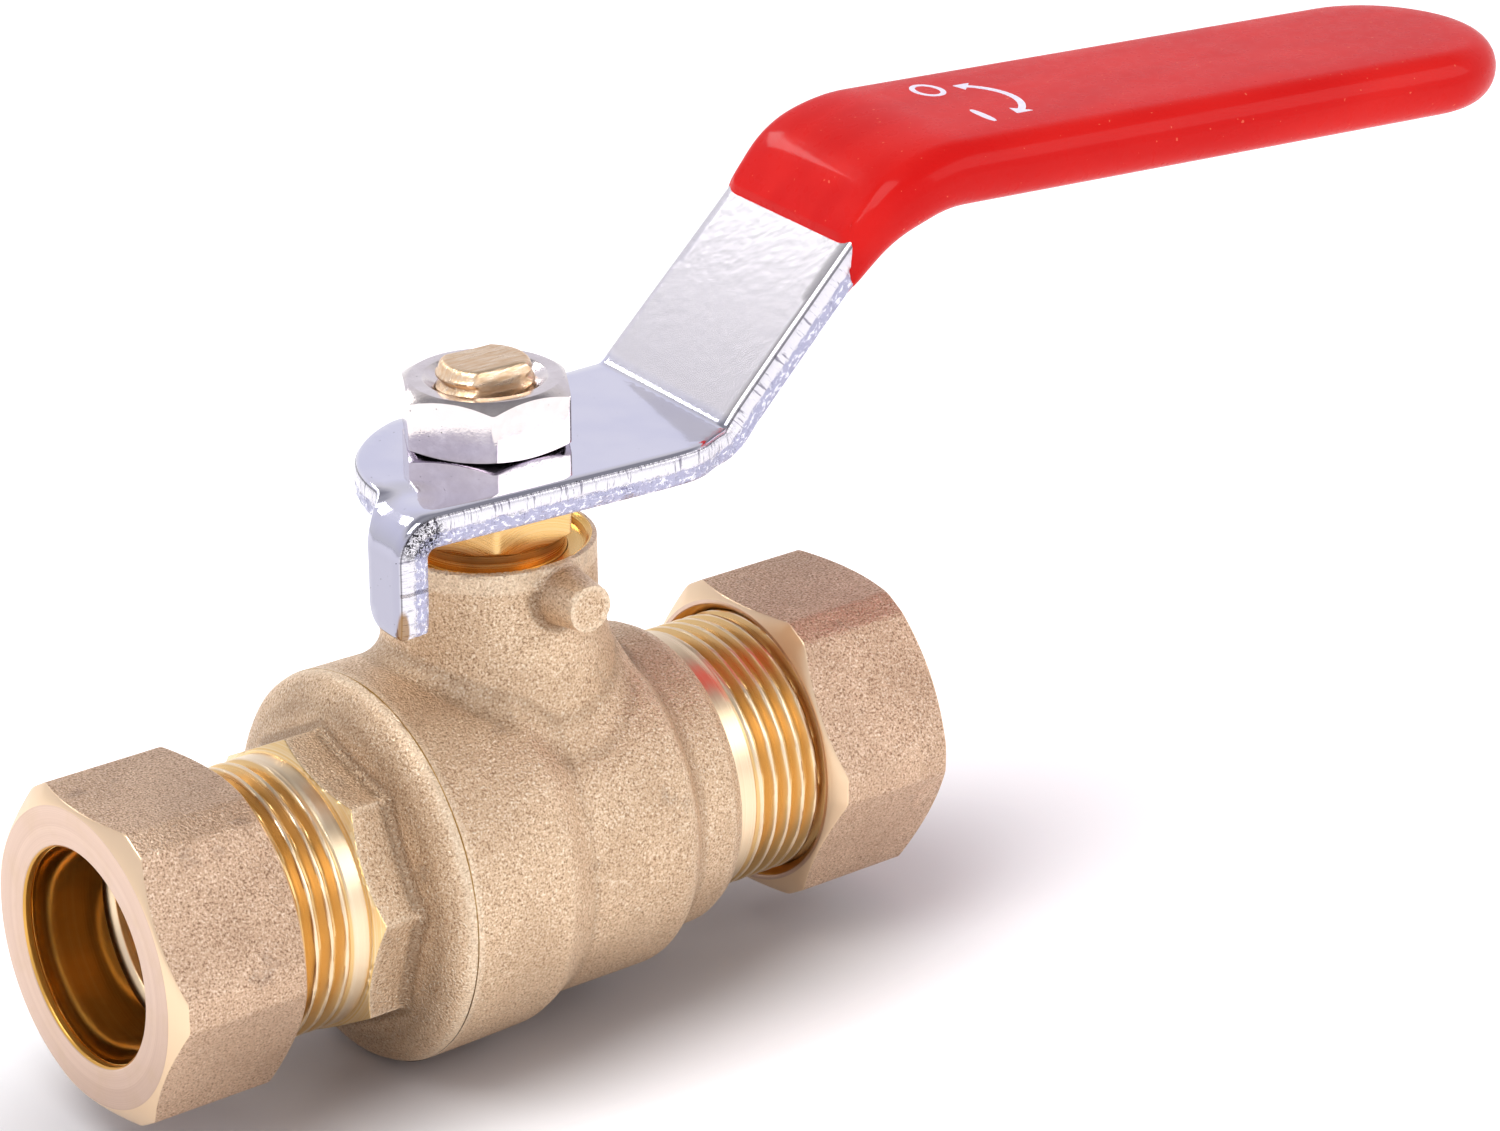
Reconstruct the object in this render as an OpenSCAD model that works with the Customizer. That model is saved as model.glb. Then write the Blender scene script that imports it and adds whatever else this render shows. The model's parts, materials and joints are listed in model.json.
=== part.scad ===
// Brass ball valve with a compression fitting at each end and a lever handle.
// Millimetres. X runs along the pipe, Z runs up the stem, and the origin is the centre of the ball.

/* [Pipe ends] */
// Outside diameter of the tube that each end takes
tube_d = 22.225; // [22:0.005:22.3]
// Diametral clearance of the tube in its socket
tube_clearance = 0.175; // [0.1:0.005:0.25]
// Depth of each tube socket
socket_depth = 16; // [13:0.5:17]
// Diameter of the passage through the valve and the ball
port_d = 19; // [17:0.5:19]
// Distance from the ball's centre to the mouth of the left socket
left_mouth = 40; // [39.5:0.1:41]
// Distance from the ball's centre to the mouth of the right socket
right_mouth = 38; // [37.5:0.1:39]

/* [Neck threads] */
// Outside diameter of the thread on each neck, nominally 1 1/8 in
thread_d = 28.575; // [28:0.005:28.6]
// Pitch of the neck thread, 14 threads to the inch
thread_pitch = 1.814; // [1.7:0.001:1.9]
// Depth of the neck thread
thread_depth = 1.0; // [0.8:0.05:1.1]

/* [Compression nuts] */
// Size of a nut across its flats
nut_af = 32; // [31:0.1:33]
// Size of a nut across the small flats that cut off its corners
nut_corner_af = 35.2; // [34.8:0.1:36]
// Length of a nut
nut_length = 15.9; // [15:0.1:17]
// How far a nut's outer face stands beyond the socket's mouth
nut_reach = 9.9; // [9.5:0.1:10.2]
// Wall of a compression sleeve
ferrule_wall = 0.8; // [0.6:0.05:0.9]
// Length of a compression sleeve
ferrule_length = 8.2; // [7.5:0.1:8.4]

/* [Body] */
// Widest diameter of the body, at the joint with the end cap
belly_d = 41.8; // [41:0.1:43]
// Diameter of the body past its first step
waist_d = 38.1; // [37:0.1:39]
// Diameter of the body past its second step
shoulder_d = 33.4; // [32.6:0.1:34.4]
// Size of the end cap's octagon across its flats
cap_af = 29.3; // [29:0.1:30]
// Turn of the octagon about the pipe axis, from one corner straight up
cap_turn = 5.8; // [0:0.1:22.5]
// Diameter of the ball
ball_d = 29; // [28.8:0.1:29]

/* [Bonnet] */
// Outside diameter of the bonnet
bonnet_d = 22; // [21.4:0.1:23]
// Height of the bonnet's rim above the pipe axis
bonnet_top = 32.5; // [32:0.1:33]
// Diameter of each stop lug at its tip
lug_d = 4.8; // [4:0.1:5.2]
// How far each stop lug reaches from the stem's axis
lug_reach = 15.8; // [14:0.1:16.4]
// Size of the gland nut across its flats
gland_af = 16; // [15.6:0.1:17]

/* [Stem] */
// Diameter of the stem
stem_d = 10; // [9.8:0.1:10]
// Thickness of the stem's top between its two flats
stem_flats = 7; // [6.5:0.1:7.5]
// Height of the stem's top above the pipe axis
stem_top = 51.4; // [51:0.1:52]
// Size of the lever nut across its flats
lever_nut_af = 16.4; // [16:0.1:17]
// Height of the lever nut
lever_nut_h = 6.5; // [6:0.1:7]

/* [Lever] */
// Angle of the lever from the pipe axis, clockwise from above
lever_angle = 4.13; // [0:0.01:5]
// Thickness of the lever's steel plate
plate_t = 3.5; // [3:0.1:3.5]
// Height of the plate's top above the pipe axis
plate_top = 43.06; // [43:0.01:43.4]
// Slope of the lever between its two bends
rise_angle = 45.7; // [44:0.1:47]
// Distance from the stem's axis to the middle of the lower bend
bend_x = 21.65; // [21:0.05:22.5]
// Distance from the stem's axis to the start of the upper bend
upper_bend_x = 38.9; // [38:0.1:40]
// Radius of the upper bend along the middle of the plate
upper_bend_r = 17.1; // [16:0.1:19]
// Fall of the handle from its upper bend to its tip, in degrees
droop = 1.82; // [0:0.01:2.5]
// Distance from the stem's axis to the tip of the grip
grip_tip = 129.8; // [120:0.1:135]
// Distance from the stem's axis to the hem of the grip
grip_hem = 36.5; // [35:0.1:38]
// Width of the grip
grip_w = 26.2; // [25.6:0.1:27]
// Thickness of the grip
grip_t = 7.5; // [6.5:0.1:8]

/* [Hidden] */

BRASS_CAST = [0.72, 0.60, 0.44];
BRASS_NUT = [0.68, 0.53, 0.41];
BRASS_TURNED = [0.85, 0.67, 0.35];
CHROME = [0.80, 0.80, 0.84];
PTFE = [0.93, 0.93, 0.90];
RUBBER = [0.08, 0.08, 0.08];
VINYL = [0.80, 0.05, 0.05];

fine = 128;                                // segments of a turned surface
soft = 48;                                 // segments of a small round
eps = 0.01;                                // overshoot of a cut
play = 0.05;                               // radial clearance of a running fit

// Pipe ends
socket_r = (tube_d + tube_clearance) / 2;
port_r = port_d / 2;
thread_r = thread_d / 2;
left_stop = -left_mouth + socket_depth;
right_stop = right_mouth - socket_depth;
mouth_bevel = 0.7;                         // ferrule's seat, cut into the mouth of each neck
neck_bevel = 1.0;                          // lead-in of the neck's thread

// Compression nuts, measured from the outer face inwards
nut_hole_r = socket_r + 0.1;
nut_face_r = nut_af / 2 - 0.4;
nut_bevel_slope = tan(30);
nut_lip = 0.85;
nut_cavity_r = socket_r + ferrule_wall + 0.25;
nut_thread_r = thread_r + 0.08;
nut_thread_from = 7.5;
nut_entry_r = 15.2;
ferrule_gap = 0.7;                         // from the sleeve to the neck's mouth
ferrule_taper = 1.2;

// Ball, seats and the cavity around them
ball_r = ball_d / 2;
cavity_r = ball_r + 0.5;
cavity_end = 8;
seat_r = 13;
seat_face = 9;
seat_back = 13.6;
seat_play = 0.05;
split_x = -16.9;                           // joint between the end cap and the body
nose_r = 17.4;
nose_end = -9.5;
nose_bevel = 0.6;
seal_t = 0.6;
slot_w = 5;
slot_floor = 11;

// Bonnet, from the ball upwards
bonnet_r = bonnet_d / 2;
collar_r = 6.9;
collar_bottom = 15.3;
collar_top = 17;
washer_t = 0.95;
web_bottom = 18;
web_top = 21.5;
stuffing_r = 7.5;
packing_split = 23.2;
packing_peak = 0.8;
packing_top = 25.7;
gland_r = 8;
gland_thread_from = 26;
recess_r = 9.9;
recess_floor = 31.2;
rim_bevel = 0.5;
gland_hex_from = 33;
gland_hex_to = 39.2;
lug_x = 1.1;
lug_z = 29;
lug_root_r = lug_d / 2 + 0.75;

// Stem
stem_r = stem_d / 2;
ring_groove_z = 19.8;
ring_section_r = 0.5;
stem_thread_pitch = 1.5;
stem_thread_depth = 0.6;
plate_bottom = plate_top - plate_t;
nut_top = plate_top + lever_nut_h;
lever_nut_turn = -0.5;                     // where the lever nut came to rest when tightened

// Lever: its middle surface runs flat, up the rise, round the upper bend and out to the tip
rise_x = upper_bend_x - bend_x;
upper_bend_z = plate_top - plate_t / 2 + rise_x * tan(rise_angle);
upper_bend_cx = upper_bend_x + upper_bend_r * sin(rise_angle);
upper_bend_cz = upper_bend_z - upper_bend_r * cos(rise_angle);
lower_bend_r = 4;
lower_bend_run = lower_bend_r * tan(rise_angle / 2);
plate_near = 15.45;                        // the plate reaches further on the tab's side
plate_far = 9.6;
plate_end_r = 17.4;
plate_end_cx = 0.8;
plate_end_cy = -6.7;
blade_w = 23.4;
core_w = 22.8;
core_tip = grip_tip - 2;
tab_out = 19.5;
tab_w = 6.45;
tab_bottom = 30.3;
tab_bend_r = 4.5;
tab_corner_r = 2.6;

// A solid turned about the pipe axis from [radius, x] points
module turned_x(points) {
    rotate([0, 90, 0]) rotate_extrude($fn = fine) polygon(points);
}

// A solid turned about the stem axis from [radius, z] points
module turned_z(points) {
    rotate_extrude($fn = fine) polygon(points);
}

// A plain hole or rod along the pipe axis
module rod_x(r, from, to) {
    translate([from, 0, 0]) rotate([0, 90, 0]) cylinder(r = r, h = to - from, $fn = fine);
}

// A plain hole or rod along the stem axis
module rod_z(r, from, to) {
    translate([0, 0, from]) cylinder(r = r, h = to - from, $fn = fine);
}

// Crests and roots of a thread of radius r between two stations, as [radius, station] points
function ridges(r, depth, pitch, from, to) =
    let (count = floor((to - from) / pitch))
    [for (i = [0 : count - 1], s = [[0.06, 0], [0.42, 1], [0.58, 1], [0.94, 0]])
        [r - depth * (1 - s[1]), from + (i + s[0]) * pitch]];

// Points of a list, last one first
function backwards(points) = [for (i = [len(points) - 1 : -1 : 0]) points[i]];

// Threaded neck, from inside the casting out to the socket's mouth
module neck(root, mouth) {
    crest_to = mouth - neck_bevel;
    turned_x(concat(
        [[0, root - 6], [thread_r, root - 6], [thread_r, root]],
        ridges(thread_r, thread_depth, thread_pitch, root, crest_to),
        [[thread_r, crest_to], [thread_r - neck_bevel, mouth], [0, mouth]]));
}

// Tube socket and passage, with the ferrule's seat bevelled into the mouth
module waterway(stop, mouth) {
    rod_x(port_r, 0, stop + eps);
    rod_x(socket_r, stop, mouth + eps);
    turned_x([[0, mouth - mouth_bevel], [socket_r, mouth - mouth_bevel],
              [socket_r + mouth_bevel, mouth], [socket_r + mouth_bevel, mouth + eps], [0, mouth + eps]]);
}

// One stop lug of the bonnet, drawn along -Y with draught
module lug() {
    translate([lug_x, 0, lug_z]) rotate([90, 0, 0])
        rotate_extrude($fn = fine)
            polygon([[0, 4], [lug_root_r + 0.3, 4], [lug_root_r, bonnet_r],
                     [lug_d / 2 + 0.1, lug_reach - 0.5], [lug_d / 2 - 0.4, lug_reach], [0, lug_reach]]);
}

module valve_body() {
    color(BRASS_CAST) difference() {
        union() {
            turned_x([[0, split_x], [belly_d / 2, split_x], [belly_d / 2 - 0.05, -12],
                      [belly_d / 2 - 0.25, -5], [waist_d / 2 + 1.2, -4], [waist_d / 2 + 0.4, -2],
                      [waist_d / 2, -0.6], [waist_d / 2, 11], [waist_d / 2 - 0.3, 12],
                      [shoulder_d / 2 + 0.6, 14], [shoulder_d / 2, 15.5], [shoulder_d / 2, 18.8],
                      [shoulder_d / 2 - 0.4, 19.6], [thread_r + 1, 20.3], [thread_r + 0.1, 20.5],
                      [0, 20.5]]);
            neck(23.4, right_mouth);
            turned_z([[0, 0], [13.2, 0], [13.2, 13], [12.5, 17], [12, 20], [11.5, 23], [bonnet_r + 0.1, 26],
                      [bonnet_r, bonnet_top - 0.3], [bonnet_r - 0.3, bonnet_top], [0, bonnet_top]]);
            lug();
            mirror([0, 1, 0]) lug();
        }
        rod_x(nose_r + play, split_x - eps, nose_end + seal_t);
        rod_x(cavity_r, nose_end, cavity_end);
        rod_x(seat_r, cavity_end - eps, seat_back);
        waterway(right_stop, right_mouth);
        rod_z(collar_r + 0.3, 0, web_bottom);
        rod_z(stem_r + play, web_bottom - eps, web_top + eps);
        rod_z(stuffing_r, web_top, gland_thread_from + eps);
        rod_z(gland_r + play, gland_thread_from, recess_floor + eps);
        turned_z([[0, recess_floor], [recess_r, recess_floor], [recess_r, bonnet_top - rim_bevel],
                  [recess_r + rim_bevel, bonnet_top], [recess_r + rim_bevel, bonnet_top + eps],
                  [0, bonnet_top + eps]]);
    }
}

module end_cap() {
    octagon_r = cap_af / 2 / cos(22.5);
    octagon_from = -25.55;
    octagon_to = -19.5;
    color(BRASS_CAST) difference() {
        union() {
            turned_x([[0, -20.6], [octagon_r - 1.2, -20.6], [octagon_r + 0.1, -20.15], [17, -19.8],
                      [18.3, -19.3], [19.3, -18.8], [20, -18.3], [20.5, -17.8], [belly_d / 2, split_x],
                      [nose_r, split_x], [nose_r, nose_end - nose_bevel], [nose_r - nose_bevel, nose_end],
                      [0, nose_end]]);
            intersection() {
                rotate([-cap_turn, 0, 0]) translate([octagon_from, 0, 0]) rotate([0, 90, 0])
                    cylinder(r = octagon_r, h = 7, $fn = 8);
                turned_x([[0, octagon_from], [thread_r + 0.1, octagon_from],
                          [octagon_r + 0.2, octagon_from + (octagon_r + 0.2 - thread_r) * tan(35)],
                          [octagon_r + 0.2, octagon_to], [0, octagon_to]]);
            }
            mirror([1, 0, 0]) neck(27.2, left_mouth);
        }
        mirror([1, 0, 0]) waterway(-left_stop, left_mouth);
        rod_x(port_r, left_stop - eps, nose_end + eps);
        rod_x(seat_r, -seat_back, nose_end + eps);
    }
}

module body_seal() {
    color(PTFE) difference() {
        rod_x(nose_r, nose_end, nose_end + seal_t);
        rod_x(cavity_r, nose_end - eps, nose_end + seal_t + eps);
    }
}

// Seat ring on the right of the ball
module seat_ring() {
    color(PTFE) difference() {
        turned_x([[port_r, seat_face], [seat_r - 0.4, seat_face], [seat_r, seat_face + 0.4],
                  [seat_r, seat_back], [port_r, seat_back]]);
        sphere(r = ball_r + seat_play, $fn = fine);
    }
}

module seat_left() {
    mirror([1, 0, 0]) seat_ring();
}

module seat_right() {
    seat_ring();
}

module ball() {
    color(CHROME) rotate([0, 0, -lever_angle]) difference() {
        sphere(r = ball_r, $fn = fine);
        rod_x(port_r, -ball_r - eps, ball_r + eps);
        translate([-slot_w / 2 - play, -ball_r, slot_floor - 2 * play])
            cube([slot_w + 2 * play, ball_d, ball_r]);
    }
}

module stem() {
    thread_from = plate_top + 0.3;
    thread_to = stem_top - 0.8;
    color(BRASS_TURNED) rotate([0, 0, -lever_angle]) difference() {
        union() {
            intersection() {
                rod_z(collar_r, slot_floor, collar_bottom + eps);
                translate([-slot_w / 2, -collar_r, slot_floor])
                    cube([slot_w, 2 * collar_r, collar_bottom - slot_floor + 1]);
            }
            turned_z([[0, collar_bottom], [collar_r, collar_bottom], [collar_r, collar_top],
                      [stem_r, collar_top], [stem_r, plate_bottom], [0, plate_bottom]]);
            intersection() {
                turned_z(concat([[0, plate_bottom - 1], [stem_r, plate_bottom - 1], [stem_r, thread_from]],
                    ridges(stem_r, stem_thread_depth, stem_thread_pitch, thread_from, thread_to),
                    [[stem_r, thread_to], [stem_r - 0.8, stem_top], [0, stem_top]]));
                translate([-stem_r, -stem_flats / 2, plate_bottom - 1])
                    cube([2 * stem_r, stem_flats, stem_top]);
            }
        }
        rotate_extrude($fn = fine) translate([stem_r - ring_section_r, ring_groove_z])
            translate([-ring_section_r, -ring_section_r - 0.1])
                square([2 * ring_section_r + 1, 2 * ring_section_r + 0.2]);
    }
}

module stem_o_ring() {
    color(RUBBER) rotate_extrude($fn = fine)
        translate([stem_r - ring_section_r, ring_groove_z]) circle(r = ring_section_r, $fn = soft);
}

module thrust_washer() {
    color(PTFE) turned_z([[stem_r + play, web_bottom - washer_t], [collar_r + 0.2, web_bottom - washer_t],
                          [collar_r + 0.2, web_bottom], [stem_r + play, web_bottom]]);
}

module packing_lower() {
    middle = (stem_r + stuffing_r) / 2;
    color(PTFE) turned_z([[stem_r + play, web_top], [stuffing_r, web_top], [stuffing_r, packing_split],
                          [middle, packing_split + packing_peak], [stem_r + play, packing_split]]);
}

module packing_upper() {
    middle = (stem_r + stuffing_r) / 2;
    color(PTFE) turned_z([[stem_r + play, packing_split], [middle, packing_split + packing_peak],
                          [stuffing_r, packing_split], [stuffing_r, packing_top],
                          [stem_r + play, packing_top]]);
}

// Hexagon with chamfered ends, two of its flats facing Y
module hex_prism(af, from, to, bevel_low, bevel_high) {
    corner = af / 2 / cos(30);
    intersection() {
        translate([0, 0, from]) cylinder(r = corner, h = to - from, $fn = 6);
        turned_z([[0, from], [af / 2 - 0.3, from], [af / 2 - 0.3 + bevel_low / tan(30), from + bevel_low],
                  [af / 2 - 0.3 + bevel_high / tan(30), to - bevel_high], [af / 2 - 0.3, to], [0, to]]);
    }
}

module gland_nut() {
    color(BRASS_TURNED) difference() {
        union() {
            hex_prism(gland_af, gland_hex_from, gland_hex_to, 1.0, 1.0);
            turned_z([[0, packing_top], [stuffing_r - 0.1, packing_top], [stuffing_r - 0.1, 26.6],
                      [gland_r, 27.1], [gland_r, recess_floor], [gland_r - 0.2, gland_hex_from + eps],
                      [0, gland_hex_from + eps]]);
        }
        rod_z(stem_r + play, packing_top - eps, gland_hex_to + eps);
    }
}

// Side outline of a strip of thickness t about the lever's middle surface, from the lower bend's
// flat side out to x = tip
module handle_side(t, tip) {
    mid = plate_top - plate_t / 2;
    h = t / 2;
    cx = bend_x - lower_bend_run;
    cz = mid + lower_bend_r;
    inner = lower_bend_r - h;
    outer = lower_bend_r + h;
    under = [for (a = [0 : 4 : rise_angle]) [cx + outer * sin(a), cz - outer * cos(a)]];
    above = [for (a = [0 : 6 : rise_angle]) [cx + inner * sin(a), cz - inner * cos(a)]];
    crest = [for (a = [rise_angle : -2.5 : -droop])
        [upper_bend_cx - (upper_bend_r + h) * sin(a), upper_bend_cz + (upper_bend_r + h) * cos(a)]];
    hollow = [for (a = [rise_angle : -2.5 : -droop])
        [upper_bend_cx - (upper_bend_r - h) * sin(a), upper_bend_cz + (upper_bend_r - h) * cos(a)]];
    level_x = upper_bend_cx + upper_bend_r * sin(droop);
    level_z = upper_bend_cz + upper_bend_r * cos(droop);
    tip_z = level_z - (tip - level_x) * tan(droop);
    polygon(concat([[-1, mid + h], [-1, mid - h]], under, hollow,
                   [[tip, tip_z - h], [tip, tip_z + h]], backwards(crest), backwards(above)));
}

// The same strip as a solid, wider than any part of the lever
module handle_strip(t, tip) {
    translate([0, 40, 0]) rotate([90, 0, 0]) linear_extrude(height = 80) handle_side(t, tip);
}

// Tongue of width w with a round tip, seen from above
module tongue(w, from, tip) {
    translate([from, -w / 2]) square([tip - w / 2 - from, w]);
    translate([tip - w / 2, 0]) circle(d = w, $fn = fine);
}

// Outline of the flat plate, seen from above
module plate_plan() {
    intersection() {
        union() {
            translate([plate_end_cx, plate_end_cy]) circle(r = plate_end_r, $fn = fine);
            translate([-3, -plate_near]) square([6, plate_near + plate_far]);
        }
        translate([-30, -plate_near]) square([30.5, plate_near + plate_far]);
    }
    polygon([[0, plate_far], [bend_x, blade_w / 2], [grip_hem, core_w / 2], [grip_hem, -core_w / 2],
             [bend_x, -blade_w / 2 - 0.5], [17.8, -plate_near + 1.2], [14.5, -plate_near],
             [0, -plate_near]]);
}

// Stop tab: the plate's corner, turned down past the bonnet
module stop_tab() {
    far = -plate_near + tab_w;
    inner_r = tab_bend_r - plate_t;
    bend_cx = -tab_out + tab_bend_r;
    bend_cz = plate_top - tab_bend_r;
    intersection() {
        translate([0, far, 0]) rotate([90, 0, 0]) linear_extrude(height = tab_w) union() {
            translate([bend_cx, bend_cz]) difference() {
                circle(r = tab_bend_r, $fn = fine);
                circle(r = inner_r, $fn = fine);
                translate([0, -tab_bend_r - 1]) square([tab_bend_r + 1, 2 * tab_bend_r + 2]);
                translate([-tab_bend_r - 1, -tab_bend_r - 1]) square([2 * tab_bend_r + 2, tab_bend_r + 1]);
            }
            translate([-tab_out, tab_bottom]) square([plate_t, bend_cz - tab_bottom]);
            translate([bend_cx, plate_bottom]) square([6, plate_t]);
        }
        rotate([90, 0, 90]) translate([0, 0, -tab_out - 1]) linear_extrude(height = tab_out) union() {
            translate([-plate_near, tab_bottom + tab_corner_r]) square([tab_w, 20]);
            translate([-plate_near, tab_bottom]) square([tab_w - tab_corner_r, 20]);
            translate([far - tab_corner_r, tab_bottom + tab_corner_r]) circle(r = tab_corner_r, $fn = soft);
        }
    }
}

module lever() {
    color(CHROME) rotate([0, 0, -lever_angle]) difference() {
        union() {
            intersection() {
                union() {
                    handle_strip(plate_t, core_tip);
                    translate([-20, -20, plate_bottom]) cube([20, 40, plate_t]);
                }
                union() {
                    translate([0, 0, plate_bottom - 1]) linear_extrude(height = 40) plate_plan();
                    translate([0, 0, plate_top]) linear_extrude(height = 40)
                        tongue(core_w, grip_hem - 1, core_tip);
                }
            }
            stop_tab();
        }
        intersection() {
            rod_z(stem_r, plate_bottom - eps, plate_top + eps);
            translate([-stem_r, -stem_flats / 2, 0]) cube([stem_d, stem_flats, plate_top + 1]);
        }
    }
}

module grip() {
    color(VINYL) rotate([0, 0, -lever_angle]) difference() {
        intersection() {
            handle_strip(grip_t, grip_tip);
            translate([0, 0, plate_top]) linear_extrude(height = 40)
                intersection() {
                    tongue(grip_w, grip_hem - 1, grip_tip);
                    union() {
                        polygon([[grip_hem, -core_w / 2 - 0.6], [grip_hem + 12, -grip_w / 2],
                                 [grip_hem + 12, grip_w / 2], [grip_hem, core_w / 2 + 0.6]]);
                        translate([grip_hem + 12 - eps, -grip_w / 2]) square([grip_tip, grip_w]);
                    }
                }
        }
        intersection() {
            handle_strip(plate_t, core_tip);
            translate([0, 0, plate_top]) linear_extrude(height = 40) tongue(core_w, grip_hem - 2, core_tip);
        }
    }
}

module lever_nut() {
    color(CHROME) rotate([0, 0, lever_nut_turn]) difference() {
        hex_prism(lever_nut_af, plate_top, nut_top, 0.9, 0.9);
        rod_z(stem_r, plate_top - eps, nut_top + eps);
        turned_z([[0, nut_top - 1.3], [stem_r, nut_top - 1.3], [stem_r + 1.3, nut_top],
                  [stem_r + 1.3, nut_top + eps], [0, nut_top + eps]]);
    }
}

// Compression nut, its outer face at the origin and its thread towards +X
module compression_nut() {
    corner = nut_corner_af / 2 / cos(30);
    bevel = (corner - nut_face_r) * nut_bevel_slope;
    difference() {
        intersection() {
            rotate([0, 90, 0]) linear_extrude(height = nut_length) intersection() {
                circle(r = nut_corner_af / 2 / cos(30), $fn = 6);
                rotate(30) circle(r = nut_af / 2 / cos(30), $fn = 6);
            }
            turned_x([[0, 0], [nut_face_r, 0], [corner, bevel], [corner, nut_length - bevel],
                      [nut_face_r, nut_length], [0, nut_length]]);
        }
        turned_x([[0, -eps], [nut_hole_r + 0.3, -eps], [nut_hole_r, 0.3], [nut_hole_r, nut_lip],
                  [nut_cavity_r, nut_lip + (nut_cavity_r - nut_hole_r)], [nut_cavity_r, nut_thread_from],
                  [nut_thread_r, nut_thread_from + 0.6], [nut_thread_r, nut_length - 1.6],
                  [nut_entry_r, nut_length], [nut_entry_r, nut_length + eps], [0, nut_length + eps]]);
    }
}

// Compression sleeve, its outer end at the origin
module ferrule() {
    outer = socket_r + ferrule_wall;
    inner = socket_r + 0.02;
    turned_x([[inner, 0], [inner + 0.15, 0], [outer, ferrule_taper], [outer, ferrule_length - ferrule_taper],
              [inner + 0.15, ferrule_length], [inner, ferrule_length]]);
}

module nut_left() {
    color(BRASS_NUT) translate([-left_mouth - nut_reach, 0, 0]) compression_nut();
}

module nut_right() {
    color(BRASS_NUT) translate([right_mouth + nut_reach, 0, 0]) mirror([1, 0, 0]) compression_nut();
}

module ferrule_left() {
    color(BRASS_TURNED) translate([-left_mouth - ferrule_gap - ferrule_length, 0, 0]) ferrule();
}

module ferrule_right() {
    color(BRASS_TURNED) translate([right_mouth + ferrule_gap + ferrule_length, 0, 0])
        mirror([1, 0, 0]) ferrule();
}

valve_body();
end_cap();
body_seal();
seat_left();
seat_right();
ball();
stem();
thrust_washer();
stem_o_ring();
packing_lower();
packing_upper();
gland_nut();
lever();
grip();
lever_nut();
nut_left();
nut_right();
ferrule_left();
ferrule_right();
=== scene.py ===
"""Ball valve with a compression fitting at each end: its visible skins, materials and a plain studio.

Lengths are in millimetres in the row frame, X along the pipe and Z up the stem. piece() makes metres
of them.
"""

import json
import math

import bmesh
import bpy
import numpy as np
from mathutils import Matrix, Vector
from mathutils.geometry import delaunay_2d_cdt


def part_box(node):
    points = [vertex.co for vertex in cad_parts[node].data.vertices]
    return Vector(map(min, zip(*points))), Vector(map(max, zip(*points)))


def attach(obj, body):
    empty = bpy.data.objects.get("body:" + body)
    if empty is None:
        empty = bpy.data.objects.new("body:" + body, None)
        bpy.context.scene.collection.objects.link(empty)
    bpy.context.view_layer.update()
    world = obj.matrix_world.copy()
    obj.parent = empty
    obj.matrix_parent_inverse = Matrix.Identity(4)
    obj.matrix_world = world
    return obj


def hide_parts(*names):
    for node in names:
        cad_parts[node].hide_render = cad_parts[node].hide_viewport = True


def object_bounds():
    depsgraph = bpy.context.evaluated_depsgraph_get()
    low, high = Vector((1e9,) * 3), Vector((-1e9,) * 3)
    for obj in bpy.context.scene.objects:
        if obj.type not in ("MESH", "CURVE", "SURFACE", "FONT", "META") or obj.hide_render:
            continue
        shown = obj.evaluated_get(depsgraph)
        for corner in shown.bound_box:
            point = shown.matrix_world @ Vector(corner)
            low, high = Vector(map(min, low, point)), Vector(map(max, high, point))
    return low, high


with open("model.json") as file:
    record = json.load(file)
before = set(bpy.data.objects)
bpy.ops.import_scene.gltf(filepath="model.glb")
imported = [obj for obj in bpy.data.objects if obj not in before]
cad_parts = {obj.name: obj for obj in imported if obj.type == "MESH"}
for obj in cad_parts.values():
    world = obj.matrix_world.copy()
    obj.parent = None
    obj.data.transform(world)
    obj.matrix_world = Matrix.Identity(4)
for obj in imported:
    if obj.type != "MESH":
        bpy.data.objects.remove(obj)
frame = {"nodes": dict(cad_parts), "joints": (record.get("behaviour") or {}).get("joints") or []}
CAD_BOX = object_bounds()

MM = 0.001
TAU = 2 * math.pi
RNG = np.random.default_rng(7)


# ---------------------------------------------------------------- sizes taken from the frame

def low(node):
    """Lowest corner of a CAD node in millimetres."""
    return np.array(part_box(node)[0]) / MM


def high(node):
    """Highest corner of a CAD node in millimetres."""
    return np.array(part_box(node)[1]) / MM


SPLIT_X = -16.9                         # joint between the end cap and the body
CAP_MOUTH = low("end_cap")[0]
BODY_MOUTH = high("valve_body")[0]
BONNET_TOP = high("valve_body")[2]
BORE_R = 9.5                            # passage through the valve
SOCKET_R = 11.2                         # tube socket
THREAD_R = 14.29                        # neck thread, over its crests
THREAD_PITCH = 1.814
THREAD_DEPTH = 1.05
NUT_LENGTH = 15.9
NUT_APOTHEM = 16.0                      # half the compression nuts' width across flats
NUT_FACE_R = 15.6                       # flat face of a compression nut, inside its chamfer
NUT_SLOPE = math.tan(math.radians(30))  # of that chamfer
PLATE_BOTTOM = high("gland_nut")[2] + 0.36
PLATE_TOP = low("lever_nut")[2]
PLATE_T = PLATE_TOP - PLATE_BOTTOM
PLATE_MID = (PLATE_TOP + PLATE_BOTTOM) / 2
STEM_TOP = high("stem")[2]
LEVER_TURN = -max(j["range_deg"][1] for j in frame["joints"] if j["name"] == "lever_turn")


# ---------------------------------------------------------------- making meshes

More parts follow.
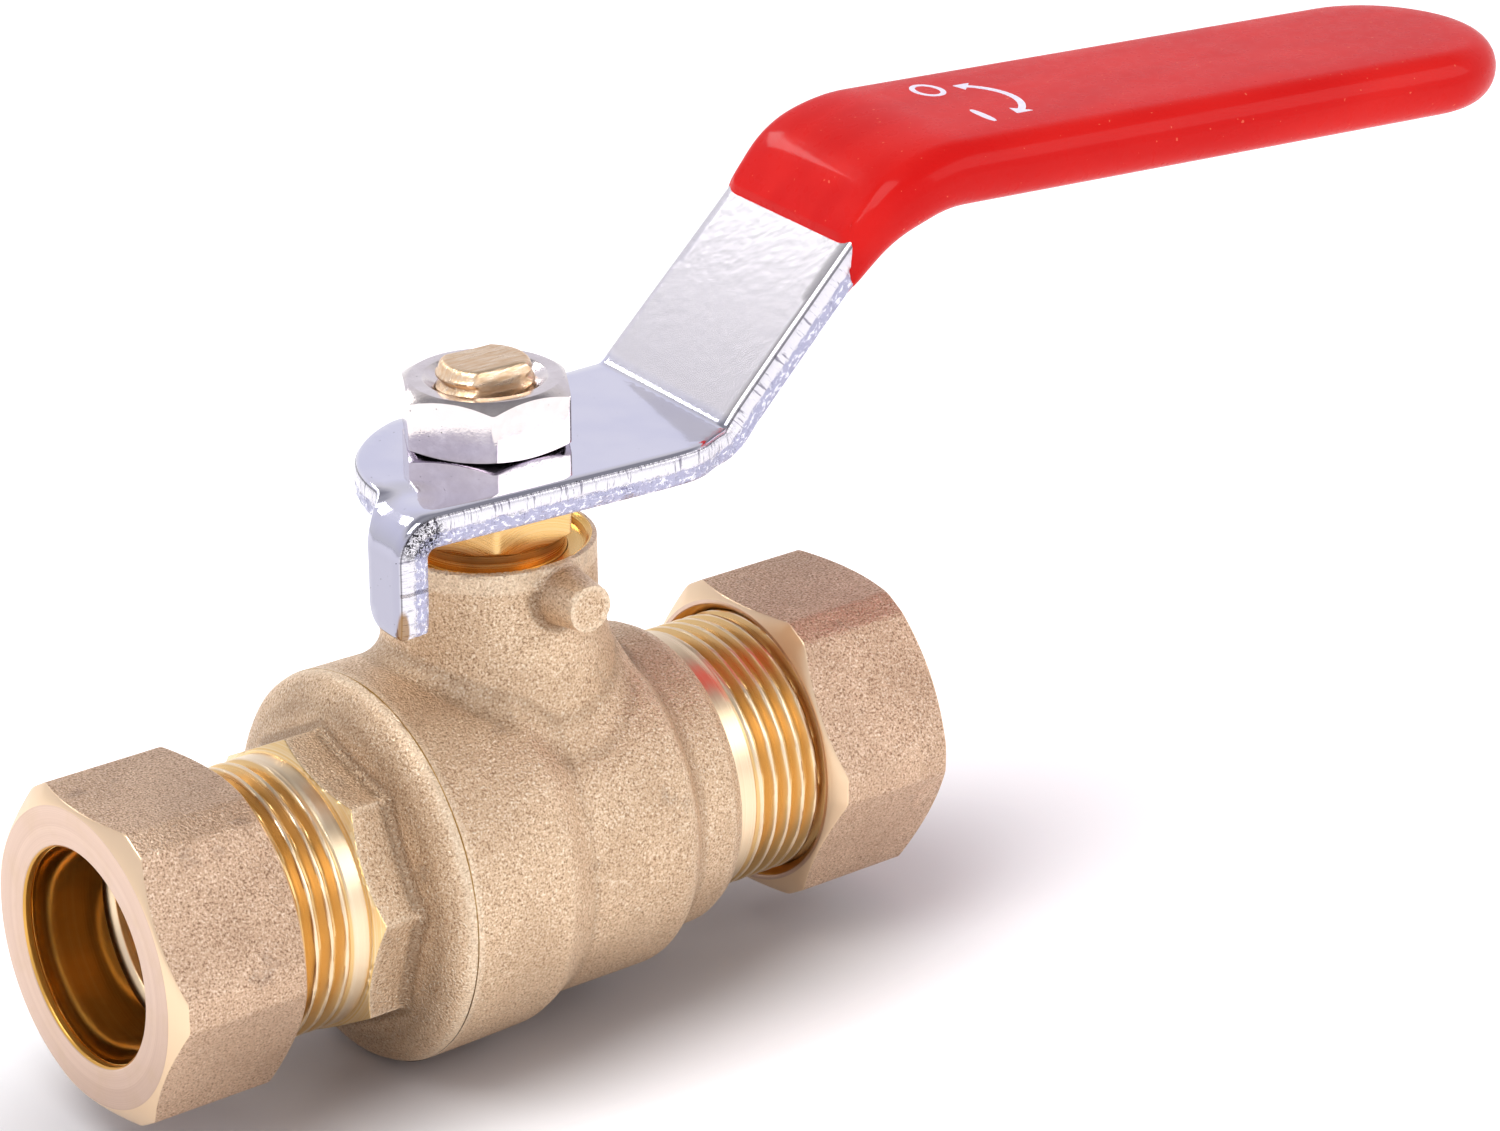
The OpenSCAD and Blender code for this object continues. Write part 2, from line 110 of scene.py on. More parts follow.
def piece(name, points, faces, body, slot, material, replaces=(), crease=32, marks=None):
    """A closed skin from points in millimetres, smooth except at creases, riding on a CAD body."""
    mesh = bpy.data.meshes.new(name)
    mesh.from_pydata((np.asarray(points) * MM).tolist(), [], faces)
    for key, values in (marks or {}).items():
        mesh.attributes.new(key, "FLOAT", "POINT").data.foreach_set("value", np.asarray(values, float))
    work = bmesh.new()
    work.from_mesh(mesh)
    bmesh.ops.remove_doubles(work, verts=work.verts, dist=2e-6)
    bmesh.ops.dissolve_degenerate(work, edges=work.edges, dist=1e-7)
    bmesh.ops.recalc_face_normals(work, faces=work.faces)
    work.to_mesh(mesh)
    work.free()
    mesh.shade_smooth()
    mesh.set_sharp_from_angle(angle=math.radians(crease))
    mesh.materials.append(material)
    obj = bpy.data.objects.new(name, mesh)
    bpy.context.scene.collection.objects.link(obj)
    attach(obj, body)
    if replaces:
        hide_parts(*replaces)
    return obj


def skin(rows, closed):
    """Points and quads over rows of points, each a ring; a closed skin joins its last row to its first."""
    rows = np.asarray(rows)
    count, around = rows.shape[:2]
    index = np.arange(count * around).reshape(count, around)
    lower = index if closed else index[:-1]
    upper = np.roll(index, -1, 0) if closed else index[1:]
    quads = np.stack([lower, np.roll(lower, -1, 1), np.roll(upper, -1, 1), upper], -1).reshape(-1, 4)
    return rows.reshape(-1, 3), quads.tolist()


def turned(profile, angles, axis="x", closed=True):
    """Skin turned about X or Z from (station, radius) pairs, each a number or one value per angle."""
    rows = []
    for station, radius in profile:
        station = np.broadcast_to(station, angles.shape)
        across, up = radius * np.cos(angles), radius * np.sin(angles)
        rows.append(np.stack([station, across, up] if axis == "x" else [across, up, station], -1))
    return skin(rows, closed)


def ring_angles(count):
    return np.arange(count) / count * TAU


def eased(chain, cut, angles):
    """An open chain of (station, radius) points with each inner corner turned into a small round."""
    points = np.array([[np.broadcast_to(v, angles.shape) for v in pair] for pair in chain], float)

    def part_way(step):
        length = np.sqrt((step ** 2).sum(1, keepdims=True)) + 1e-9
        return step / length * np.minimum(cut, 0.45 * length)

    before = points[1:-1] + part_way(points[:-2] - points[1:-1])
    after = points[1:-1] + part_way(points[2:] - points[1:-1])
    middle = (before + 2 * points[1:-1] + after) / 4
    inner = np.stack([before, middle, after], 1).reshape(-1, 2, len(angles))
    return [tuple(p) for p in np.concatenate([points[:1], inner, points[-1:]])]


def ease_in(x):
    x = np.clip(x, 0, 1)
    return x * x * (3 - 2 * x)


def thread(radius, depth, pitch, start, end, angles, steps=16, fade=(0.6, 0.0), inside=False):
    """Rows of a helical thread cut into a wall of that radius, running out over fade turns at each end."""
    nicks = RNG.normal(size=(60, len(angles)))
    nicks = np.clip((nicks + np.roll(nicks, 1, 1) + np.roll(nicks, 2, 1)) / 3 - 0.7, 0, 1)
    rows = []
    for x in np.linspace(start, end, max(2, round((end - start) / pitch * steps))):
        turn = (x - start) / pitch - angles / TAU + 5
        ridge = np.clip((np.abs(2 * (turn % 1) - 1) - 0.16) / 0.66, 0, 1)
        in_cut = np.clip((x - start) / (fade[0] * pitch + 1e-9), 0, 1)
        in_cut *= np.clip((end - x) / (fade[1] * pitch + 1e-9), 0, 1) if fade[1] else 1
        worn = 0.07 * ridge * nicks[np.floor(turn).astype(int) % 60, np.arange(len(angles))]
        cut = depth * (1 - ridge) * in_cut + worn
        rows.append((x, radius + cut if inside else radius - cut))
    return rows


def hexagon(angles, apothem, facing):
    """Radius of a hexagon at each angle; one of its flats faces facing."""
    off = (angles - facing) % (TAU / 6)
    off = np.minimum(off, TAU / 6 - off)
    return apothem / np.cos(off)


def soft_least(values, round_by):
    """Smallest of several radii, with the corners between them rounded off."""
    values = np.array(values)
    least = values.min(0)
    return least - round_by * np.log(np.exp(-(values - least) / round_by).sum(0))


# ---------------------------------------------------------------- castings, from distance fields

def outline_distance(points, outline):
    """Signed distance of 2-D points from a closed outline, negative inside."""
    best = np.full(len(points), np.inf)
    inside = np.zeros(len(points), bool)
    for a, b in zip(outline, np.roll(outline, -1, 0)):
        edge, to = b - a, points - a
        share = np.clip(to @ edge / (edge @ edge), 0, 1)
        best = np.minimum(best, ((to - share[:, None] * edge) ** 2).sum(1))
        if a[1] != b[1]:
            spans = (a[1] > points[:, 1]) != (b[1] > points[:, 1])
            inside ^= spans & (points[:, 0] < a[0] + edge[0] * (points[:, 1] - a[1]) / edge[1])
    return np.where(inside, -1, 1) * np.sqrt(best)


def join(a, b, fillet):
    """Union of two fields with a round fillet between them."""
    u, v = np.maximum(fillet - a, 0), np.maximum(fillet - b, 0)
    return np.maximum(fillet, np.minimum(a, b)) - np.hypot(u, v)


def meet(a, b, round_by=0.0):
    """Intersection of two fields with a rounded edge between them."""
    if not round_by:
        return np.maximum(a, b)
    return -join(-a, -b, round_by)


def turned_field(x, r, profile, blur=0.2):
    """Field of a turned body whose radius r follows (station, radius) points, softened by blur."""
    stations, radii = np.array(profile).T
    fine = np.arange(stations[0], stations[-1] + 0.05, 0.05)
    radius = np.interp(fine, stations, radii)
    reach = int(3 * blur / 0.05)
    bell = np.exp(-0.5 * (np.arange(-reach, reach + 1) * 0.05 / blur) ** 2)
    radius = np.convolve(np.pad(radius, reach, "edge"), bell / bell.sum(), "valid")
    slope = np.gradient(radius, fine)
    return (r - np.interp(x, fine, radius)) / np.sqrt(1 + np.interp(x, fine, slope) ** 2)


def contour(field, lowest, highest, cell):
    """Dual contouring: quads on the zero surface of a field, which keep its sharp edges sharp."""
    counts = np.ceil((highest - lowest) / cell).astype(int) + 1
    axes = [lowest[i] + cell * np.arange(counts[i]) for i in range(3)]
    values = np.empty(counts)
    for i, x in enumerate(axes[0]):
        y, z = np.meshgrid(axes[1], axes[2], indexing="ij")
        values[i] = field(np.stack([np.full(y.size, x), y.ravel(), z.ravel()], -1)).reshape(y.shape)

    def slope_at(points, step=0.02):
        shifts = step * np.eye(3)
        return np.stack([field(points + s) - field(points - s) for s in shifts], -1) / (2 * step)

    corners, spots, normals = [], [], []
    for a in range(3):
        b, c = (a + 1) % 3, (a + 2) % 3
        near = np.take(values, np.arange(counts[a] - 1), a)
        far = np.take(values, np.arange(1, counts[a]), a)
        edges = np.argwhere((near < 0) != (far < 0))
        at = tuple(edges.T)
        spot = lowest + cell * edges
        spot[:, a] += cell * near[at] / (near[at] - far[at])
        slope = slope_at(spot)
        along = np.where(np.abs(slope[:, a]) < 0.2, 0.2, np.abs(slope[:, a])) * np.sign(slope[:, a] + 1e-12)
        spot[:, a] -= np.clip(field(spot) / along, -cell / 3, cell / 3)
        ring = []
        for back_b, back_c in ((0, 0), (1, 0), (1, 1), (0, 1)):
            cells = edges.copy()
            cells[:, b] -= back_b
            cells[:, c] -= back_c
            ring.append(np.ravel_multi_index(cells.T, counts))
        ring = np.stack(ring, 1)
        corners.append(np.where((near[at] > 0)[:, None], ring[:, ::-1], ring))
        spots.append(spot)
        normals.append(slope / np.linalg.norm(slope, axis=1, keepdims=True))
    corners, spots, normals = (np.concatenate(v) for v in (corners, spots, normals))
    cells, quads = np.unique(corners, return_inverse=True)
    quads = quads.reshape(-1, 4)
    total = len(cells)

    def gather(weights):
        return sum(np.bincount(quads[:, k], weights, total) for k in range(4))

    count = gather(np.ones(len(spots)))
    mass = np.stack([gather(spots[:, i]) for i in range(3)], -1) / count[:, None]
    square = np.empty((total, 3, 3))
    for i in range(3):
        for j in range(3):
            square[:, i, j] = gather(normals[:, i] * normals[:, j])
    reach = (normals * spots).sum(1)
    right = np.stack([gather(normals[:, i] * reach) for i in range(3)], -1)
    right -= np.einsum("nij,nj->ni", square, mass)
    hold = (0.03 * count)[:, None, None] * np.eye(3)
    offset = np.linalg.solve(square + hold, right[..., None])[..., 0]
    middle = lowest + cell * (np.stack(np.unravel_index(cells, counts), -1) + 0.5)
    points = middle + np.clip(mass + offset - middle, -0.75 * cell, 0.75 * cell)
    return points, quads.tolist()


def lumps(points, size, seed):
    """Gentle unevenness of a forging, about 1 at most, in waves of that size."""
    rng = np.random.default_rng(seed)
    total = np.zeros(len(points))
    for _ in range(7):
        way = rng.normal(size=3)
        way *= TAU / size / np.linalg.norm(way)
        total += np.sin(points @ way + rng.uniform(0, TAU))
    return total / 4


BONNET_R = 11.0
BONNET_FILLET = 1.9
LUG_X = 1.1
LUG_Z = 29.0
LUG_REACH = 15.8
BODY_END = 20.5
BODY_BORES = [(17.45, -9.0), (15.0, 8.0), (13.3, 13.7)]   # radius, and how far right it goes
PASSAGE_R = 13.1                        # of the body's forging, behind the machined skins
STEM_BORES = [(8.8, 5.0), (10.5, 30.6)]  # radius, and how far down from the top it goes
BODY_PROFILE = [(-18.5, 20.82), (-12, 20.8), (-5.0, 20.65), (-3.8, 20.25), (-1.9, 19.3), (-0.9, 19.0),
                (11.4, 18.95), (12.4, 18.7), (13.9, 17.15), (14.8, 16.8), (18.9, 16.65), (19.8, 16.2),
                (22, 15.2)]
CAP_PROFILE = [(-21.8, 9.0), (-20.6, 14.2), (-20.2, 15.86), (-19.8, 17.0), (-19.3, 18.3), (-18.8, 19.3),
               (-18.3, 20.0), (-17.8, 20.5), (-17.2, 20.75), (-15, 20.82)]
BONNET_PROFILE = [(8, 13.3), (13, 13.2), (17, 12.5), (20, 12.0), (23, 11.45), (26, 11.1), (29, 11.0),
                  (34, 11.0)]
CAP_TURN = math.radians(5.8)            # of the octagon, from one corner straight up
CAP_AF = 29.3
CONE_FROM = -25.55                      # where the cone cut on the octagon leaves the neck
CONE_SLOPE = 1 / math.tan(math.radians(35))


def lug_field(points, side):
    """One stop lug of the bonnet, with draught and a softened end."""
    y = points[:, 1] * side
    reach = np.clip((y - BONNET_R) / (LUG_REACH - BONNET_R), -0.6, 1)
    shank = np.hypot(points[:, 0] - LUG_X, points[:, 2] - LUG_Z) - (3.15 - 0.7 * reach)
    return meet(meet(shank, y - LUG_REACH, 0.22), 4 - y)


def body_field(points):
    """The body's forging, bored for the parts that go inside it."""
    x, y, z = points.T
    r = np.hypot(y, z)
    around_stem = np.hypot(x, y)
    belly = turned_field(x, r, BODY_PROFILE)
    belly = meet(belly, x - BODY_END, 0.5)
    shifted = np.hypot(x - 0.8 * ease_in((27 - z) / 9), y)
    bonnet = meet(turned_field(z, shifted, BONNET_PROFILE), z - BONNET_TOP, 0.35)
    solid = join(belly, meet(bonnet, 2 - z), BONNET_FILLET)
    for side in (-1, 1):
        solid = join(solid, lug_field(points, side), 0.7)
    solid = solid + 0.05 * lumps(points, 9, 3)
    solid = meet(solid, SPLIT_X - x)
    solid = meet(solid, z - BONNET_TOP, 0.3)
    cuts = [meet(r - radius, x - end) for radius, end in BODY_BORES]
    cuts += [r - PASSAGE_R] + [meet(around_stem - radius, end - z) for radius, end in STEM_BORES]
    for cut in cuts:
        solid = np.maximum(solid, -cut)
    return solid


def cap_cone(x, r):
    """Field of the cone turned on the end of the cap's octagon, negative inside the metal."""
    return (r - (THREAD_R + CONE_SLOPE * (x - CONE_FROM))) / math.hypot(1, CONE_SLOPE)


def cap_field(points):
    """The end cap's forging: a dome that runs into an octagon for a spanner."""
    x, y, z = points.T
    r = np.hypot(y, z)
    dome = turned_field(x, r, CAP_PROFILE)
    dome = meet(dome, -21.2 - x)
    turn = np.arange(8) * TAU / 8 + TAU / 16 - CAP_TURN
    octagon = np.max(y[:, None] * np.cos(turn) + z[:, None] * np.sin(turn), 1) - CAP_AF / 2
    octagon = meet(octagon, x + 18)
    solid = join(dome, octagon, 0.7) + 0.05 * lumps(points, 8, 5)
    solid = meet(meet(solid, x - SPLIT_X), CONE_FROM + 0.02 - x)
    solid = np.maximum(solid, np.where(x < -23.2, cap_cone(x, r), -1))
    return np.maximum(solid, -(r - 13.2))


def bent(field, points, step=0.8):
    """How much painted shade and how much painted highlight, with edge wear, each point gets: creases of the
    field and its outer edges, from 0 to 1.
    """
    shifts = step * np.eye(3)
    curve = sum(field(points + s) + field(points - s) for s in shifts) - 6 * field(points)
    curve /= step ** 2
    # Creases get painted shade; outer edges get painted highlight, together with edge wear.
    return {"hollow": np.clip((-curve - 0.06) / 0.55, 0, 1), "worn": np.clip((curve - 0.16) / 0.9, 0, 1)}


def castings(cell=0.36):
    """The two blasted forgings of the housing."""
    margin = 2 * cell
    points, quads = contour(body_field, np.array([SPLIT_X - margin, -22.0, -22.0]),
                            np.array([BODY_END + margin, 22.0, BONNET_TOP + margin]), cell)
    piece("body_forging", points, quads, "valve", "forged_brass", BLASTED_BODY, ["valve_body"], crease=40,
          marks=bent(body_field, points))
    points, quads = contour(cap_field, np.array([CONE_FROM - margin, -22.0, -22.0]),
                            np.array([SPLIT_X + margin, 22.0, 22.0]), cell)
    piece("cap_forging", points, quads, "valve", "forged_brass", BLASTED_CAP, ["end_cap"], crease=40,
          marks=bent(cap_field, points))


# ---------------------------------------------------------------- turned parts of the housing

def neck(root, mouth, angles):
    """Outside of a threaded neck on the right: rows from its root to the socket, then back to the port."""
    cut_end = mouth - 1.0
    rows = thread(THREAD_R, THREAD_DEPTH, THREAD_PITCH, root, cut_end, angles)
    return rows + eased([(cut_end, rows[-1][1]), (mouth, THREAD_R - THREAD_DEPTH), (mouth, SOCKET_R + 0.7),
                         (mouth - 0.7, SOCKET_R), (mouth - 16, SOCKET_R), (mouth - 16, BORE_R)], 0.12, angles)


def mirrored(rows):
    return [(-x, r) for x, r in rows]


def necks():
    """Machined ends of the housing: thread, socket, passage and seat pockets."""
    angles = ring_angles(288)
    right = [(20.1, 13.2), (20.1, THREAD_R), (21.2, THREAD_R), (22.6, THREAD_R)]
    right += neck(23.4, BODY_MOUTH, angles)
    right += [(14.4, BORE_R), (13.65, BORE_R + 0.6), (13.65, 13.2)]
    piece("body_neck", *turned(right, angles), "valve", "turned_brass", TURNED)
    left = [(25.3, THREAD_R - 0.3), (25.4, THREAD_R), (26.6, THREAD_R)]
    left += neck(27.2, -CAP_MOUTH, angles)
    left += [(14.4, BORE_R), (13.65, BORE_R + 0.6), (13.65, 13.0), (9.5, 13.0), (9.5, 16.8), (10.1, 17.4),
             (16.0, 17.4), (17.2, 13.4), (25.3, 13.3)]
    piece("cap_neck", *turned(mirrored(left), angles), "valve", "turned_brass", TURNED)


def bonnet_bore():
    """Machined inside of the bonnet: recess, gland thread, stuffing box and stem bore."""
    angles = ring_angles(192)
    rows = eased([(14.9, 8.9), (30.5, 8.9), (30.5, 10.6), (BONNET_TOP - 0.06, 10.6),
                  (BONNET_TOP - 0.06, 10.35), (BONNET_TOP - 0.5, 9.9), (31.2, 9.9), (31.2, 8.05),
                  (26.0, 8.05), (26.0, 7.5), (21.5, 7.5), (21.5, 5.05), (18.0, 5.05), (18.0, 7.2),
                  (14.9, 7.2)], 0.08, angles)
    piece("bonnet_bore", *turned(rows, angles, "z"), "valve", "turned_brass", TURNED_DEEP)


# ---------------------------------------------------------------- nuts and sleeves

def compression_nut(name, face_x, inwards, body):
    """Compression nut: a hexagon with cut corners, turned faces and a threaded inside."""
    angles = ring_angles(360)
    flats = hexagon(angles, NUT_APOTHEM, TAU / 4)
    rim = soft_least([flats, hexagon(angles, 17.6, TAU / 4 + TAU / 12)], 0.07)
    drop = np.maximum((rim - NUT_FACE_R) * NUT_SLOPE, 0.02)
    edge = 0.16
    edge_drop = edge * NUT_SLOPE
    bore = THREAD_R + 0.08
    far = NUT_LENGTH - drop
    rows = eased([(14.8, bore), (NUT_LENGTH, 15.2), (NUT_LENGTH, NUT_FACE_R),
                  (far + edge_drop, rim - edge)], 0.06, angles)
    rows += [(far - 0.04, rim - 0.04), (far - edge, rim), (NUT_LENGTH / 2, rim),
             (drop + edge, rim), (drop + 0.04, rim - 0.04)]
    rows += eased([(drop - edge_drop, rim - edge), (0, NUT_FACE_R), (0, 11.6), (0.3, 11.3), (0.85, 11.3),
                   (1.8, 12.25), (7.4, 12.25), (8.0, bore)], 0.06, angles)
    rows += thread(bore, 0.5, THREAD_PITCH, 8.2, 14.6, angles, 10, (0.5, 0.5), inside=True)
    rows = [(face_x + inwards * x, r) for x, r in rows]
    brass = NUT_LEFT if inwards > 0 else NUT_RIGHT
    piece(name, *turned(rows, angles), body, "nut_brass", brass, [name], crease=24)


def ferrule(name, body):
    """Compression sleeve with tapered ends."""
    angles = ring_angles(192)
    start, end = low(name)[0], high(name)[0]
    front = eased([(start + 3, 12.0), (start + 1.2, 12.0), (start, 11.42), (start, 11.24),
                   (start + 3, 11.22)], 0.05, angles)
    back = eased([(end - 3, 11.22), (end, 11.24), (end, 11.42), (end - 1.2, 12.0), (end - 3, 12.0)],
                 0.05, angles)
    piece(name + "_sleeve", *turned(front + back, angles), body, "turned_brass", SLEEVE, [name])


def hexagon_rows(angles, apothem, facing, start, end, face_r, angle_low, angle_high, edge=0.12):
    """Outside rows of a chamfered hexagon between two heights, from the bottom face circle to the top one."""
    corner = apothem / math.cos(TAU / 12)
    rim = soft_least([hexagon(angles, apothem, facing), np.full_like(angles, corner - 0.1)], 0.04)
    low_drop = np.maximum((rim - face_r) * math.tan(math.radians(angle_low)), 0.01)
    high_drop = np.maximum((rim - face_r) * math.tan(math.radians(angle_high)), 0.01)
    return [(start, face_r), (start + low_drop - edge / 2, rim - edge), (start + low_drop, rim - 0.03),
            (start + low_drop + edge, rim), (end - high_drop - edge, rim), (end - high_drop, rim - 0.03),
            (end - high_drop + edge / 2, rim - edge), (end, face_r)]


def gland_nut():
    """Hexagon nut that presses the packing, with its round shank down in the bonnet."""
    angles = ring_angles(240)
    bottom, top = 33.0, high("gland_nut")[2]
    rows = eased([(26.6, 5.05), (26.6, 7.6), (27.1, 8.0), (31.4, 8.0), (32.2, 7.8), (bottom, 7.8)],
                 0.08, angles)
    rows += hexagon_rows(angles, 8.0, TAU / 4, bottom, top, 7.75, 30, 30)
    rows += eased([(top, 7.7), (top, 5.6), (top - 0.5, 5.05), (26.6, 5.05)], 0.06, angles)
    piece("gland_hexagon", *turned(rows, angles, "z"), "valve", "turned_brass", TURNED_GOLD,
          ["gland_nut"], crease=24)


def lever_nut():
    """Plated nut that holds the lever down on the stem."""
    angles = ring_angles(240)
    bottom, top = PLATE_TOP, high("lever_nut")[2]
    facing = TAU / 4 - math.radians(0.5)
    rows = hexagon_rows(angles, 8.2, facing, bottom, top, 7.75, 22, 30, edge=0.22)
    rows += eased([(top, 7.7), (top, 6.35), (top - 1.1, 5.05), (bottom, 5.05), (bottom, 7.7)], 0.12, angles)
    piece("lever_nut_plated", *turned(rows, angles, "z"), "lever_set", "nut_nickel", NICKEL,
          ["lever_nut"], crease=50)


def spindle():
    """Stem: tang, collar and shank below, then two flats with the remains of a thread on the rounds."""
    angles = ring_angles(240)
    shank_r, collar_r, crown = 5.0, 6.9, 1.1
    slab = 3.5 / np.maximum(np.abs(np.sin(angles)), 1e-6)
    tang = np.minimum(collar_r, 2.5 / np.maximum(np.abs(np.cos(angles)), 1e-6))
    rows = [(11.0, 0.0), (11.0, tang), (15.3, tang), (15.3, collar_r), (17.0, collar_r), (17.0, shank_r),
            (19.3, shank_r), (19.3, 4.0), (20.3, 4.0), (20.3, shank_r), (PLATE_BOTTOM, shank_r)]
    rows += [(PLATE_BOTTOM, soft_least([np.full_like(angles, shank_r), slab], 0.04))]
    for z, r in thread(shank_r, 0.55, 1.5, PLATE_TOP + 0.3, STEM_TOP - crown, angles, 12):
        rows.append((z, soft_least([r, slab], 0.05)))
    for share in (0.25, 0.5, 0.72, 0.88, 0.97, 1.0):
        inset = crown * (1 - math.sqrt(1 - share ** 2)) * 0.8
        rows.append((STEM_TOP - crown + share * crown,
                     soft_least([np.full_like(angles, 4.75 - inset), slab - 0.75 * inset], 0.08)))
    rows += [(STEM_TOP, 0.5 * rows[-1][1]), (STEM_TOP, 0.0)]
    points, quads = turned(rows, angles, "z", closed=False)
    piece("spindle", rotated(points, LEVER_TURN), quads, "lever_set", "turned_brass", STEM_END,
          ["stem"], crease=35)


def rotated(points, degrees):
    """Points turned about the stem's axis."""
    c, s = math.cos(math.radians(degrees)), math.sin(math.radians(degrees))
    points = np.asarray(points)
    return np.stack([c * points[..., 0] - s * points[..., 1], s * points[..., 0] + c * points[..., 1],
                     points[..., 2]], -1)


# ---------------------------------------------------------------- the lever, as a bent blank

RISE = math.radians(45.7)
DROOP = math.radians(1.82)
BEND_X = 21.65                          # middle of the lower bend
LOWER_R = 4.0                           # lower bend, along the middle of the plate
UPPER_X = 38.9                          # start of the upper bend
UPPER_R = 17.1
GRIP_HEM = 36.5
GRIP_TIP = 129.8
LOWER_FROM = BEND_X - LOWER_R * math.tan(RISE / 2)
LOWER_TO = LOWER_FROM + LOWER_R * RISE
RISE_X = LOWER_FROM + LOWER_R * math.sin(RISE)
RISE_Z = PLATE_MID + LOWER_R * (1 - math.cos(RISE))
UPPER_FROM = LOWER_TO + (UPPER_X - RISE_X) / math.cos(RISE)
UPPER_TO = UPPER_FROM + UPPER_R * (RISE + DROOP)
UPPER_CX = UPPER_X + UPPER_R * math.sin(RISE)
UPPER_CZ = RISE_Z + (UPPER_X - RISE_X) * math.tan(RISE) - UPPER_R * math.cos(RISE)
HEM_U = LOWER_TO + (GRIP_HEM - RISE_X) / math.cos(RISE)
TIP_U = UPPER_TO + (GRIP_TIP - UPPER_CX - UPPER_R * math.sin(DROOP)) / math.cos(DROOP)
TAB_CX, TAB_R = -15.0, 2.75             # centre line and middle radius of the tab's bend
TAB_BOTTOM = 30.3
TAB_END = TAB_CX - TAB_R * math.pi / 2 - (PLATE_MID - TAB_R - TAB_BOTTOM)   # on the flat blank
LEVER_NEAR = -15.45                     # straight near edge of the blank


def corner_curve(start, vertex, end, share, weight):
    """Point on a conic from start to end that bulges towards vertex, more so with more weight."""
    a, b, c = (1 - share) ** 2, 2 * weight * share * (1 - share), share ** 2
    return [(a * p + b * q + c * s) / (a + b + c) for p, q, s in zip(start, vertex, end)]


def side_point(u, w):
    """Side view of the handle: x and z of the blank's point u along it and w above its middle."""
    share = np.clip((u - LOWER_FROM) / (LOWER_TO - LOWER_FROM), 0, 1)
    faces = []
    for h, weight in ((-PLATE_T / 2, 0.92), (PLATE_T / 2, 3.2)):
        start = (LOWER_FROM, PLATE_MID + h)
        end = (RISE_X - h * math.sin(RISE), RISE_Z + h * math.cos(RISE))
        vertex = (BEND_X - h * math.tan(RISE / 2), PLATE_MID + h)
        faces.append(corner_curve(start, vertex, end, share, weight))
    mix = w / PLATE_T + 0.5
    lower = [f0 + (f1 - f0) * mix for f0, f1 in zip(*faces)]
    along = u - LOWER_TO
    rise = (RISE_X + along * math.cos(RISE) - w * math.sin(RISE),
            RISE_Z + along * math.sin(RISE) + w * math.cos(RISE))
    angle = np.clip(RISE - (u - UPPER_FROM) / UPPER_R, -DROOP, RISE)
    upper = (UPPER_CX - (UPPER_R + w) * np.sin(angle), UPPER_CZ + (UPPER_R + w) * np.cos(angle))
    past = np.maximum(u - UPPER_TO, 0)
    far = (upper[0] + past * math.cos(DROOP), upper[1] - past * math.sin(DROOP))
    x = np.select([u < LOWER_FROM, u < LOWER_TO, u < UPPER_FROM], [u, lower[0], rise[0]], far[0])
    z = np.select([u < LOWER_FROM, u < LOWER_TO, u < UPPER_FROM], [PLATE_MID + w, lower[1], rise[1]], far[1])
    return x, z


def bend(u, v, w):
    """Where a point of the flat blank goes: along the handle, or down with the stop tab."""
    x, z = side_point(u, w)
    past = np.maximum(TAB_CX - u, 0)
    angle = np.minimum(past / TAB_R, math.pi / 2)
    down = np.maximum(past - TAB_R * math.pi / 2, 0)
    centre_z = PLATE_MID - TAB_R
    tab_x = TAB_CX - (TAB_R + w) * np.sin(angle)
    tab_z = centre_z + (TAB_R + w) * np.cos(angle) - down
    share = np.where(u < TAB_CX, ease_in((-6.0 - v) / 2.4), 0)
    return rotated(np.stack([x + share * (tab_x - x), v, z + share * (tab_z - z)], -1), LEVER_TURN)


def spaced(outline, step):
    """A closed outline resampled at even steps."""
    outline = np.array(outline, float)
    ring = np.vstack([outline, outline[:1]])
    run = np.concatenate([[0], np.cumsum(np.linalg.norm(np.diff(ring, axis=0), axis=1))])
    at = np.linspace(0, run[-1], max(8, round(run[-1] / step)), endpoint=False)
    return np.stack([np.interp(at, run, ring[:, i]) for i in range(2)], -1)


def cornered(points, passes=3):
    """A closed outline with its corners cut again and again, which rounds them."""
    points = np.array(points, float)
    for _ in range(passes):
        after = np.roll(points, -1, 0)
        points = np.stack([0.75 * points + 0.25 * after, 0.25 * points + 0.75 * after], 1).reshape(-1, 2)
    return points


def outward(outline):
    """Unit normals of a closed outline that runs anticlockwise."""
    way = np.roll(outline, -1, 0) - np.roll(outline, 1, 0)
    way /= np.linalg.norm(way, axis=1, keepdims=True)
    return np.stack([way[:, 1], -way[:, 0]], -1)


def filling(loop, spacing):
    """Triangles inside a loop: its own points first, then a staggered grid of extra ones."""
    lowest, highest = loop.min(0), loop.max(0)
    u, v = np.meshgrid(np.arange(lowest[0], highest[0], spacing), np.arange(lowest[1], highest[1], spacing))
    u[1::2] += spacing / 2
    grid = np.stack([u.ravel(), v.ravel()], -1)
    grid = grid[outline_distance(grid, loop) < -0.6 * spacing]
    points = np.vstack([loop, grid])
    result = delaunay_2d_cdt([Vector(p) for p in points], [], [list(range(len(loop)))], 1, 1e-7)
    source = [origins[0] for origins in result[3]]
    return grid, [[source[i] for i in face] for face in result[2]]


